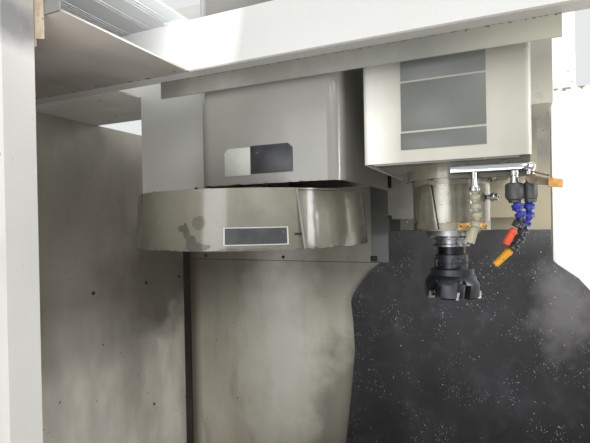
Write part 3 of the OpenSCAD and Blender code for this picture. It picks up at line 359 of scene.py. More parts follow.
class Bench:
    """The workbench: pieces made and shaped with Blender's own tools."""

    @staticmethod
    def clear() -> None:
        """Leave edit mode and let go of everything."""
        if bpy.context.mode != "OBJECT":
            bpy.ops.object.mode_set(mode="OBJECT")
        bpy.ops.object.select_all(action="DESELECT")

    @classmethod
    def hold(cls, *pieces: Piece) -> None:
        """Select these pieces only, the first as the active one.

        Args:
            *pieces: What to select.
        """
        cls.clear()
        for piece in pieces:
            piece.select_set(True)
        bpy.context.view_layer.objects.active = pieces[0]

    @classmethod
    def settle(cls, piece: Piece) -> Piece:
        """Move a piece's place, turn and size into its mesh and give it back."""
        cls.hold(piece)
        bpy.ops.object.transform_apply(location=True, rotation=True, scale=True)
        return piece

    @classmethod
    def mesh(
        cls, name: str, points: Iterable[Sequence[float]], edges: Sequence[Sequence[int]],
        faces: Sequence[Sequence[int]],
    ) -> Piece:
        """Lay out a piece from points, edges and faces, and hold it.

        Args:
            name: Name of the piece.
            points: Its points in metres.
            edges: Pairs of points.
            faces: Rings of points.

        Returns:
            The piece.
        """
        data = bpy.data.meshes.new(name)
        data.from_pydata([tuple(point) for point in points], edges, faces)
        piece = bpy.data.objects.new(name, data)
        bpy.context.scene.collection.objects.link(piece)
        cls.hold(piece)
        return piece

    @classmethod
    def grid(cls, name: str, points: Sequence[Vector], across: int) -> Piece:
        """Lay out a sheet from rows of points, each with across faces."""
        starts = [i for i in range(len(points) - across - 2) if (i + 1) % (across + 1)]
        return cls.mesh(name, points, [], [(i, i + across + 1, i + across + 2, i + 1) for i in starts])

    @classmethod
    def edit(cls, piece: Piece, *steps: Callable[[], object]) -> None:
        """Carry out steps in edit mode, each on the whole mesh, and turn its faces outwards.

        Args:
            piece: The piece.
            *steps: Blender's operators with their settings.
        """
        cls.hold(piece)
        bpy.ops.object.mode_set(mode="EDIT")
        for step in (*steps, partial(bpy.ops.mesh.normals_make_consistent, inside=False)):
            bpy.ops.mesh.select_all(action="SELECT")
            step()
        bpy.ops.object.mode_set(mode="OBJECT")

    @classmethod
    def modify(cls, piece: Piece, kind: str, **settings: object) -> None:
        """Add a modifier and apply it.

        Args:
            piece: The piece.
            kind: Blender's name for the modifier.
            **settings: Its settings.
        """
        cls.hold(piece)
        modifier = piece.modifiers.new(kind, kind)
        for name, value in settings.items():
            setattr(modifier, name, value)
        bpy.ops.object.modifier_apply(modifier=modifier.name)

    @classmethod
    def soften(cls, piece: Piece, width: float, segments: int = 2, angle: float = 35.0) -> Piece:
        """Round a piece's sharp edges.

        Args:
            piece: The piece.
            width: Width of the bevel in metres.
            segments: Faces across the bevel.
            angle: Smallest angle of an edge that is rounded, in degrees.

        Returns:
            The same piece.
        """
        limit = math.radians(angle)
        cls.modify(piece, "BEVEL", width=width, segments=segments, limit_method="ANGLE", angle_limit=limit)
        bpy.ops.object.shade_smooth_by_angle(angle=math.radians(30))
        return piece

    @classmethod
    def block(cls, name: str, low: Vector, high: Vector, round_mm: float = 1.0) -> Piece:
        """Make a box with rounded edges.

        Args:
            name: Name of the piece.
            low: Its lowest corner.
            high: Its highest corner.
            round_mm: Size of the rounding.

        Returns:
            The piece.
        """
        cls.clear()
        bpy.ops.mesh.primitive_cube_add(size=1, location=(low + high) / 2)
        piece = bpy.context.object
        piece.name = name
        piece.scale = high - low
        return cls.soften(cls.settle(piece), round_mm * MM)

    @classmethod
    def rod(
        cls, name: str, start: Vector, end: Vector, radius_mm: float, sides: int = 24, round_mm: float = 0.5
    ) -> Piece:
        """Make a round bar with rounded rims.

        Args:
            name: Name of the piece.
            start: Middle of one end.
            end: Middle of the other end.
            radius_mm: Radius of the bar.
            sides: Faces around it.
            round_mm: Size of the rounding.

        Returns:
            The piece.
        """
        cls.clear()
        run = end - start
        turn = run.to_track_quat("Z", "Y").to_euler()
        bpy.ops.mesh.primitive_cylinder_add(
            vertices=sides, radius=radius_mm * MM, depth=run.length, location=(start + end) / 2, rotation=turn
        )
        piece = bpy.context.object
        piece.name = name
        return cls.soften(cls.settle(piece), round_mm * MM, 2, 50.0)

    @classmethod
    def turned(cls, name: str, profile: Sequence[Pair], start: Vector, end: Vector, steps: int = 32) -> Piece:
        """Turn a profile about the line from start to end.

        Args:
            name: Name of the piece.
            profile: Radius and height pairs in millimetres, heights from start.
            start: Where height 0 lies.
            end: A place further along the axis.
            steps: Faces around it.

        Returns:
            The piece.
        """
        points = [(r * MM, 0.0, h * MM) for r, h in profile]
        piece = cls.mesh(name, points, [(i, i + 1) for i in range(len(points) - 1)], [])
        spin = partial(bpy.ops.mesh.spin, steps=steps, angle=2 * math.pi, center=ORIGIN, axis=UP)
        cls.edit(piece, spin, partial(bpy.ops.mesh.remove_doubles, threshold=1e-6))
        piece.matrix_world = facing(start, end - start)
        cls.settle(piece)
        bpy.ops.object.shade_smooth_by_angle(angle=math.radians(32))
        return piece

    @classmethod
    def plate(cls, name: str, corners: Sequence[Pair], y: float, thick: float, round_mm: float) -> Piece:
        """Make an upright plate that faces the front.

        Args:
            name: Name of the piece.
            corners: X and Z of its corners, from the spindle nose.
            y: Place of its back, behind the spindle axis.
            thick: Its thickness in millimetres.
            round_mm: Size of the rounding.

        Returns:
            The piece.
        """
        piece = cls.mesh(name, [spot(x, y, z) for x, z in corners], [], [range(len(corners))])
        push = {"value": tuple(FRONTWARD * thick * MM)}
        cls.edit(piece, partial(bpy.ops.mesh.extrude_region_move, TRANSFORM_OT_translate=push))
        return cls.soften(piece, round_mm * MM)

    @classmethod
    def pipe(
        cls, name: str, route: Sequence[Vector], radius_mm: float, facets: int, curved: bool = False
    ) -> Piece:
        """Run a closed pipe along a route.

        Args:
            name: Name of the piece.
            route: Places along it.
            radius_mm: Its outer radius.
            facets: Fineness of its round.
            curved: Whether it bends smoothly near the places, or runs straight between them.

        Returns:
            The piece.
        """
        data = bpy.data.curves.new(name, "CURVE")
        data.dimensions = "3D"
        data.bevel_depth, data.bevel_resolution, data.use_fill_caps = radius_mm * MM, facets, True
        spline = data.splines.new("NURBS" if curved else "POLY")
        spline.points.add(len(route) - 1)
        for point, place in zip(spline.points, route):
            point.co = (*place, 1.0)
        if curved:
            spline.use_endpoint_u, spline.order_u = True, 4
        piece = bpy.data.objects.new(name, data)
        bpy.context.scene.collection.objects.link(piece)
        cls.hold(piece)
        bpy.ops.object.convert(target="MESH")
        return bpy.context.object

    @classmethod
    def copy(cls, piece: Piece, name: str, move: Matrix) -> Piece:
        """Copy a piece with its own mesh to another place.

        Args:
            piece: What to copy.
            name: Name of the copy.
            move: The turn and shift from the piece to its copy.

        Returns:
            The copy.
        """
        twin = piece.copy()
        twin.data = piece.data.copy()
        twin.name = name
        twin.data.transform(move)
        bpy.context.scene.collection.objects.link(twin)
        return twin

    @classmethod
    def join(cls, name: str, pieces: Sequence[Piece]) -> Piece:
        """Make one piece of several.

        Args:
            name: Name of the whole.
            pieces: What to join.

        Returns:
            The whole.
        """
        cls.hold(*pieces)
        if len(pieces) > 1:
            bpy.ops.object.join()
        whole = bpy.context.object
        whole.name = name
        return whole

    @classmethod
    def repeat(cls, name: str, pattern: Piece, moves: Iterable[Matrix]) -> Piece:
        """Copy a pattern by each move and join the copies.

        Args:
            name: Name of the whole.
            pattern: What to copy; it goes once it is copied.
            moves: The turn and shift of each copy.

        Returns:
            The whole.
        """
        made = [cls.copy(pattern, f"{name}.{number}", move) for number, move in enumerate(moves)]
        bpy.data.objects.remove(pattern)
        return cls.join(name, made)

    @classmethod
    def screw(cls, radius_mm: float) -> Piece:
        """Make one socket head screw at the origin, its head towards +Z."""
        r, h = radius_mm, radius_mm * 0.75
        profile = [(0, 0.2 * h), (r * 0.45, 0.2 * h), (r * 0.52, h), (r * 0.85, h), (r, h * 0.8), (r, 0)]
        return cls.turned("screw", profile, ORIGIN, UP, 12)

    @classmethod
    def screws(cls, name: str, places: Iterable[Vector], out: Vector, radius_mm: float) -> Piece:
        """Set screws at several places, their heads in one direction, and join them."""
        return cls.repeat(name, cls.screw(radius_mm), [facing(place, out) for place in places])


# Powder coat on steel sheet is slightly uneven in gloss, and dirty where chips and mist land.
COAT = (0.05, 2.5)
# Enamel sprayed over filler has a slow orange peel.
ENAMEL = (0.04, 5.0)
FINISHES: tuple[Finish, ...] = (
    Finish("white_powder_coat", "#e9e9e4", 0.42, COAT, (
        Mottle("#c9c8c1", 260, 0.35), Specks("#6b6a64", 14, 0.73, rough=0.6, cluster_mm=160))),
    # The same coat on the doors, with a smear of grease where a hand pulls them.
    Finish("door_powder_coat", "#eceae7", 0.40, COAT, (
        Mottle("#d6d4ce", 260, 0.3),
        Patch("#7d7e82", spot(-443, -505, 274), (0.055, 0.06, 0.030), 0.7, 0.75, 0.5),
        Specks("#6b6a64", 14, 0.745, rough=0.6, cluster_mm=160))),
    # And on the front panels, grey in the recess over the door opening.
    Finish("panel_powder_coat", "#e9e9e4", 0.42, COAT, (
        Mottle("#c9c8c1", 260, 0.35), Band("#9e9d97", Axis.X, -0.4729, 0.4729))),
    # The same coat on the beam across the roof, with painted light whitening its left end and a darker band
    # along its lower edge.
    Finish("beam_powder_coat", "#d6d6d3", 0.40, COAT, (
        Mottle("#c9c9c3", 220, 0.3), Fade("#ffffff", Axis.X, -0.405, -0.430, 1.0),
        Band("#96918a", Axis.Z, 1.7799, 1.7830, 0.9), Specks("#5b5952", 9, 0.77, cluster_mm=120))),
    # Inner walls: the coat is stained by coolant mist that dried in streaks. On the back wall, painted shadow
    # darkens it below the changer and beside the apron, and painted light whitens its right part and a place
    # low in the middle.
    Finish("stained_wall_coat", "#dfdbcc", 0.46, (0.12, 3.0), (
        Mottle("#a39e8f", 240, 0.6, (1, 1, 2.2), 0.38, 0.66), Mottle("#d0cdc0", 90, 0.35, (1, 1, 3.0)),
        Mottle("#6d685b", 60, 0.35, (1, 1, 4.0), 0.55, 0.75),
        Specks("#55503f", 9, 0.72, (1, 1, 1.4), 0.7, 110),
        # Painted shadow: darker towards the top, below the changer, and in a patch beside the apron.
        Specks("#3b372f", 26, 0.77, (1, 1, 1.2), 0.7), Fade("#5f5b51", Axis.Z, 1.128, 1.353, 0.8),
        Patch("#6a665b", spot(-348, 470, -657), (0.13, 0.05, 0.30), 0.7, 0.7, 0.3),
        # Painted light whitens the right part and a place low in the middle; darker brown towards the left
        # corner.
        Fade("#fdfbf4", Axis.X, 0.195, 0.225, 1.0), Fade("#5c5145", Axis.X, -0.885, -0.918, 0.8),
        Patch("#fffdf4", spot(-567, 470, -405), (0.11, 0.05, 0.30), 0.5, 0.75, 0.6),
        Edge("#8d8471", Axis.Z, 1.836, 12, 12, 0.58), Band("#e4e4df", Axis.Y, 0.1915, 0.2000))),
    # Side walls: the same stains, with painted light making them lighter towards the top, the bottom and the
    # back and the right wall white, and a painted shadow of the changer high on the left wall near the back.
    Finish("shaded_wall_coat", "#a39d92", 0.46, (0.12, 3.0), (
        Fade("#c9c3b8", Axis.Z, 1.52, 1.79, 0.7), Fade("#fffaf0", Axis.Z, 1.30, 1.08, 1.0),
        Fade("#fffaf0", Axis.Y, -0.10, 0.14, 1.0),
        Patch("#6d675c", Vector((-0.955, 0.076, 1.333)), (0.05, 0.22, 0.16), 0.7, 0.9, 0.3),
        Mottle("#6f6a60", 240, 0.6, (1, 1, 2.2), 0.38, 0.66), Mottle("#9c978b", 110, 0.3, (1, 1, 3.0)),
        Specks("#3f3b33", 12, 0.74, cluster_mm=120), Specks("#3b372f", 30, 0.78),
        Fade("#fbf9f2", Axis.X, 0.3, 0.6, 1.0), Band("#e4e4df", Axis.X, -0.9600, -0.9565),
        Band("#e4e4df", Axis.X, 0.9565, 0.9600))),
    # Unlit undersides of the roof sheets: warm grey, darker back from the front edge by painted shade, with a
    # dirty back edge, and painted light on the top skin above.
    Finish("roof_sheet_coat", "#c2bab2", 0.45, (0.06, 3.0), (
        Fade("#8e8881", Axis.Y, -0.65, -0.55, 1.0), Mottle("#b1aaa2", 230, 0.5, (1, 2.5, 1)),
        Mottle("#ded6cd", 120, 0.3, (1, 2.0, 1)), Edge("#6b655e", Axis.Y, -0.482, 40, 14, 0.70),
        Specks("#4a463f", 12, 0.74, cluster_mm=100), Specks("#3c3933", 34, 0.78),
        # Painted light on the top skin's underside.
        Band("#cdd1d3", Axis.Z, 1.80, 1.90, 0.95))),
    # Splash plate: grey, lighter towards the right by painted light.
    Finish("grey_plate_coat", "#75746d", 0.40, COAT, (
        Mottle("#787a73", 130, 0.5, (2.5, 1, 1)), Mottle("#a5a79f", 60, 0.25),
        Fade("#b3b09f", Axis.X, -0.02, 0.15, 0.8), Edge("#5a574e", Axis.Z, 1.780, 6, 7, 0.62),
        Specks("#4b4a42", 13, 0.73, cluster_mm=90))),
    Finish("shelf_coat", "#e3e4dd", 0.36, COAT, (
        Mottle("#b9bab3", 140, 0.5), Specks("#3e3c35", 11, 0.71, cluster_mm=70))),
    # Gloss enamel on the changer and the head cover, cream under a film of dirt, whiter on its left part by
    # painted light and darker at the top by painted shadow.
    Finish("cream_gloss_enamel", "#bab8ab", 0.30, ENAMEL, (
        Fade("#f6f6ef", Axis.X, -0.058, -0.105, 0.9), Fade("#6f6d65", Axis.Z, 1.68, 1.80, 0.85),
        Mottle("#a6a497", 200, 0.4, (1, 1, 1.8)), Mottle("#8f8d80", 70, 0.25, (1, 1, 2.0), 0.5, 0.75),
        Specks("#6c6a5c", 10, 0.745, (1, 1, 1.3), 0.6, 120), Specks("#4a483d", 24, 0.79)), coat=0.35),
    Finish("housing_gloss_enamel", "#868580", 0.18, ENAMEL, (
        Mottle("#85847a", 180, 0.45, (1, 1, 1.8)), Edge("#3a382f", Axis.Z, 1.578, 4, 11, 0.66),
        Band("#dcdcd7", Axis.X, -0.7235, -0.4355, 0.95), Specks("#63615a", 12, 0.75, (1, 1, 1.3), 0.6, 120),
        Specks("#4a483d", 26, 0.79)), coat=0.35),
    # On the skirt it is knocked off down to the grey filler, below left and along the lower edge. The skirt
    # is darker towards its lower edge, and painted shade darkens its right part.
    Finish("skirt_gloss_enamel", "#7b786c", 0.20, ENAMEL, (
        # Painted shade darkens the right part.
        Mottle("#7c796c", 150, 0.5, (1, 1, 1.6)), Fade("#6b685c", Axis.X, -0.345, -0.27, 0.7),
        Mottle("#a3a093", 80, 0.3), Specks("#6f6c5e", 10, 0.735, (1, 1, 1.3), 0.6, 100),
        Fade("#57544a", Axis.Z, 1.535, 1.468, 0.5), Edge("#3f3d35", Axis.Z, 1.4645, 4, 12, 0.60),
        Patch("#5c5a51", spot(-379.5, -241, 21.3), (0.0125, 0.03, 0.0125), 0.22, 1.0, 0.1),
        *(Patch("#4b4940", spot(x, -243, z), (w, 0.03, h), ragged) for x, z, w, h, ragged in (
            (-413, 12, 0.0075, 0.0060, 0.5), (-405, 16, 0.0045, 0.0060, 0.4), (-402, 4, 0.0065, 0.0110, 0.5),
            (-392, -10, 0.0110, 0.0110, 0.6), (-380, -20, 0.0230, 0.0080, 0.6))),
        Patch("#514f45", spot(-327, -231, -24), (0.0160, 0.03, 0.0030), 0.9),
        Patch("#514f45", spot(-285, -212, -24), (0.0260, 0.03, 0.0028), 0.9)), coat=0.7),
    # Cast iron under filler and machine enamel, soaked with oil mist.
    Finish("machine_grey_enamel", "#a5a295", 0.5, (0.25, 6.0), (
        Mottle("#8b877a", 220, 0.55), Mottle("#6e6a5e", 70, 0.3, start=0.52, stop=0.75),
        Specks("#4d493f", 12, 0.74, cluster_mm=120))),
    # Beige column enamel with brown specks, whiter towards the top and the right by painted light.
    Finish("column_enamel", "#dcd4bf", 0.5, (0.25, 6.0), (
        Mottle("#9a917c", 160, 0.5), Fade("#fffef8", Axis.Z, 1.62, 1.74, 0.9),
        Fade("#fffdf2", Axis.X, 0.14, 0.22, 0.8), Specks("#5e4630", 7, 0.70, (1, 1, 1.3), 0.8, 70),
        Specks("#4a4234", 14, 0.74, cluster_mm=120))),
    # Oily casting round the spindle, paint worn through where chips hit it; painted shade darkens the front
    # lip under the cover.
    Finish("oily_head_casting", "#74716a", 0.32, (0.2, 4.0), (
        Mottle("#605d52", 90, 0.6, (1, 1, 1.6)), Mottle("#9c9989", 50, 0.35),
        Specks("#c6c3b4", 8, 0.69, rough=0.4, cluster_mm=45),
        Specks("#2e2b25", 7, 0.70, rough=0.6, cluster_mm=50),
        Patch("#a59c82", spot(150, 340, 35), (0.125, 0.26, 0.13), 0.3, 0.85, 0.3),
        # A darker left end, and painted shade on the front lip in the gap under the cover.
        Band("#3b3d3a", Axis.X, -0.2205, -0.1745, 0.9), Band("#49453c", Axis.Y, -0.4220, -0.3940, 0.85)),
        coat=0.15),
    # Nose casting, worn and specked with dirt, with painted shade darkening its right side and a painted
    # highlight down its front.
    Finish("worn_nose_casting", "#6a6758", 0.20, (0.12, 3.0), (
        Mottle("#5f5c4e", 60, 0.5, (1, 1, 2.0)), Fade("#4b483c", Axis.X, 0.002, 0.026, 0.7),
        Patch("#eeecdf", spot(-9, -66, 45), (0.010, 0.03, 0.045), 0.3, 0.75, 0.6),
        Mottle("#95917f", 40, 0.35),
        Specks("#4a473c", 4.5, 0.68, rough=0.6, cluster_mm=28),
        Specks("#25221b", 3.2, 0.67, rough=0.6, cluster_mm=24),
        Band("#8c8676", Axis.Z, 1.5690, 1.6100, 0.7), Specks("#3a352a", 3.0, 0.64, rough=0.6, cluster_mm=30),
    ), 0.25, coat=0.8),
    # Turned and ground steel: fine rings and a film of oil.
    Finish("ground_steel", "#a8abad", 0.26, (0.03, 1.5), (Mottle("#85878a", 60, 0.5),), 1.0),
    Finish("stained_ring_steel", "#8f8c80", 0.34, (0.05, 2.0), (
        Mottle("#6f6b5d", 30, 0.6), Specks("#2f2c25", 4, 0.68, cluster_mm=25)), 0.85),
    Finish("worn_tool_steel", "#96989a", 0.24, (0.02, 1.2), (
        Mottle("#4c4d50", 14, 0.7), Specks("#232325", 4, 0.66), Band("#242527", Axis.Z, 1.36, 1.4603, 0.95)),
        1.0),
    # Black oxide on steel: dark, half bright, grey where it has rubbed.
    Finish("black_oxide_steel", "#3c3e42", 0.32, (0.03, 1.5), (
        Mottle("#606266", 26, 0.5, start=0.5, stop=0.75), Specks("#8c8e92", 4, 0.72, rough=0.3)), 0.75),
    Finish("ground_carbide", "#b9b8b1", 0.3, layers=(Mottle("#5f5947", 6, 0.5),), metallic=0.9),
    Finish("dark_bracket_steel", "#4f5150", 0.45, (0.06, 2.0), (
        Mottle("#3a3a38", 60, 0.5), Specks("#86867e", 5, 0.72, rough=0.35, cluster_mm=40)), 0.5),
    # Plated tube and turned brass: bright, dull where oil has dried.
    Finish("chromed_tube", "#c9cbcc", 0.12, layers=(Mottle("#8d8b84", 18, 0.35, start=0.5, stop=0.8),),
           metallic=1.0, rough_spread=0.12),
    Finish("turned_brass", "#c9a05a", 0.32, (0.02, 1.5),
           (Mottle("#7b6437", 12, 0.6), Specks("#3a2f1c", 3.5, 0.66)), 1.0),
    # Ribbed chloroprene sheet: matt, grey with dust, flecked with fine chips.
    Finish("dusty_rubber_sheet", "#1f1d20", 0.55, (0.35, 9.0), (
        Mottle("#3c3a3e", 170, 0.7, (1, 1, 1.3), 0.46, 0.70),
        Mottle("#5d5a60", 55, 0.35, start=0.52, stop=0.78),
        Mottle("#1b1a1c", 110, 0.5, (1, 1, 1.8), 0.48, 0.7),
        Specks("#8b8990", 3.6, 0.66, (1, 1, 1.7), 0.35, 90),
        Specks("#a9a8ac", 5.5, 0.735, (1.8, 1, 1), 0.3, 130),
        Specks("#c4c3c6", 7.0, 0.765, (1, 1, 1.6), 0.25),
        Patch("#9b999a", spot(237, 452, -204), (0.060, 0.05, 0.10), 0.8, 0.4, 0.6),
        Fade("#626163", Axis.Z, 1.40, 1.476, 0.45))),
    Finish("corner_seal_rubber", "#35302b", 0.6, (0.3, 8.0), (
        Mottle("#5c554a", 60, 0.6, (1, 1, 4.0)), Specks("#8f8a7b", 9, 0.68, (1, 1, 2.0), cluster_mm=60))),
    Finish("black_motor_enamel", "#242527", 0.38, (0.05, 2.0), (Mottle("#3b3c3e", 90, 0.4),)),
    # Milled iron: tool marks along X, rubbed bright.
    Finish("milled_cast_iron", "#8d8d89", 0.34, (0.04, 1.4), (
        Mottle("#6c6b66", 110, 0.5, (2.0, 1, 1)), Mottle("#7b6a51", 50, 0.25, start=0.56, stop=0.76),
        Specks("#3b3a37", 8, 0.73, cluster_mm=90)), 0.9, grain_stretch=(8.0, 1.0, 1.0)),
    Finish("worn_pan_coat", "#817e73", 0.42, (0.1, 4.0), (
        Mottle("#5c594f", 130, 0.65), Mottle("#a09e95", 40, 0.35),
        Specks("#c9c8c2", 5, 0.72, rough=0.25, cluster_mm=120))),
    Finish("cast_aluminium", "#a4a5a3", 0.38, (0.12, 3.0), (
        Mottle("#7d7d78", 50, 0.5), Specks("#3c3b36", 6, 0.72, cluster_mm=60)), 1.0),
    # Clear sheet and moulded plastics: even colour, soft gloss.
    Finish("polycarbonate_pane", "#dfe8ea", 0.06, ior=1.58, see_through=0.92, rough_spread=0.03),
    Finish("moulded_grey_plastic", "#c4c4be", 0.42, (0.06, 1.5), (Mottle("#adada6", 80, 0.4),), ior=1.46),
    Finish("moulded_black_plastic", "#1f2022", 0.4, (0.05, 1.5), (
        Mottle("#3a3b3d", 30, 0.4), Specks("#77787a", 4, 0.74, rough=0.3)), ior=1.46),
    Finish("dark_screen_glass", "#1b2226", 0.08, layers=(Mottle("#27343a", 60, 0.5),), coat=0.6),
    Finish("membrane_keys", "#8f9499", 0.4, layers=(Mottle("#7b8085", 30, 0.4),), ior=1.46),
    Finish("red_button_plastic", "#b3190f", 0.28, layers=(Mottle("#8c130c", 12, 0.4),), ior=1.46),
    Finish("green_button_plastic", "#1f8a3c", 0.3, layers=(Mottle("#166a2d", 10, 0.4),), ior=1.46),
    Finish("amber_button_plastic", "#c98a12", 0.3, layers=(Mottle("#a06d0c", 10, 0.4),), ior=1.46),
    # Acetal hose links: moulded, slightly waxy, dusted with chips.
    Finish("blue_acetal", "#2a358f", 0.34, layers=(Mottle("#1d2b84", 7, 0.5), Specks("#9aa6d8", 3)),
           ior=1.48),
    Finish("black_acetal", "#2a2c2e", 0.18, layers=(Mottle("#43484a", 8, 0.6),), ior=1.48),
    Finish("yellowed_acetal", "#a29e88", 0.34,
           layers=(Mottle("#98947a", 7, 0.5), Specks("#5d5a49", 3, 0.68)), ior=1.48),
    Finish("yellow_acetal", "#d99a15", 0.36, layers=(Mottle("#a8730c", 8, 0.6), Specks("#3a2c10", 3, 0.68)),
           ior=1.48),
    Finish("orange_acetal", "#d9532c", 0.36, layers=(Mottle("#a23310", 8, 0.5), Specks("#3a1a10", 3)),
           ior=1.48),
    Finish("orange_grip", "#dba04e", 0.45, layers=(Mottle("#7c5a2c", 8, 0.6),), ior=1.46),
    Finish("oily_lever_steel", "#6b5f50", 0.36, layers=(Mottle("#3f372d", 10, 0.6),), metallic=0.8),
    # Small plates, tape and the dark of a joint, which also stands as painted shadow in gaps, slots and
    # holes.
    Finish("old_edge_tape", "#c9b9a2", 0.6, (0.1, 2.0),
           (Mottle("#a08f78", 9, 0.6, (1, 1, 2.0)), Specks("#4f4437", 4, 0.68))),
    Finish("pale_plate", "#b9bab3", 0.35, layers=(Mottle("#a1a29b", 30, 0.4), Specks("#4d4c45", 5, 0.73))),
    Finish("dark_plate", "#2f3033", 0.35, layers=(Mottle("#4a4b4e", 20, 0.4), Specks("#8d8d88", 5, 0.74))),
    Finish("grey_plate", "#696b67", 0.34, layers=(Mottle("#656864", 40, 0.5), Specks("#3b3c38", 5, 0.73))),
    Finish("dark_joint", "#1d1b18", 0.8, layers=(Mottle("#2b2823", 12, 0.4),)),
)

NODES_OF_FINISH: dict[str, str] = {
    "machine_grey_enamel": "base_casting z_motor_mount changer_bracket saddle changer_carriage",
    "dark_bracket_steel": "levelling_feet coolant_valves pendant_arm",
    "column_enamel": "column",
    "ground_steel": "guide_rails z_screw y_screw x_screw x_rails spindle_shaft",
    "worn_pan_coat": "chip_pan",
    "shaded_wall_coat": "side_walls",
    "stained_wall_coat": "back_wall",
    "panel_powder_coat": "front_panels",
    "white_powder_coat": "front_apron door_track electrical_cabinet cabinet_door",
    "roof_sheet_coat": "roof_panels",
    "shelf_coat": "rear_shelf",
    "beam_powder_coat": "header_beam",
    "grey_plate_coat": "splash_plate",
    "corner_seal_rubber": "corner_strips",
    "black_motor_enamel": "feed_motors x_motor spindle_motor",
    "housing_gloss_enamel": "changer_housing",
    "moulded_grey_plastic": "drive_rack pendant_box",
    "milled_cast_iron": "table",
    "oily_head_casting": "head_casting",
    "cream_gloss_enamel": "head_cover head_duct",
    "worn_nose_casting": "spindle_cartridge",
    "stained_ring_steel": "coolant_ring",
    "dusty_rubber_sheet": "apron",
    "chromed_tube": "coolant_manifold",
    "blue_acetal": "coolant_hoses",
    "yellow_acetal": "hose_nozzles",
    "oily_lever_steel": "valve_lever",
    "worn_tool_steel": "tool_holder",
    "black_oxide_steel": "face_mill",
    "ground_carbide": "mill_inserts",
    "skirt_gloss_enamel": "carousel_skirt carousel_shutter",
    "cast_aluminium": "carousel_disc",
    "door_powder_coat": "left_door right_door",
    "polycarbonate_pane": "left_window right_window",
    "red_button_plastic": "emergency_stop",
    "green_button_plastic": "cycle_start",
    "amber_button_plastic": "feed_hold",
    "moulded_black_plastic": "jog_handwheel disconnect_handle",
}
# The machine's front, which the low lamp passes on its way in through the opening.
FRONT_NODES = (
    "front_panels front_apron door_track left_door right_door left_window right_window "
    "pendant_arm pendant_box"
)


def dress_nodes(paints: Paints) -> None:
    """Give every CAD node its material.

    Args:
        paints: The machine's materials.
    """
    for paint, names in NODES_OF_FINISH.items():
        for name in names.split():
            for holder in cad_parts[name].material_slots:
                holder.material = paints[paint]
            LOG.info("%s is dressed in %s", name, paint)


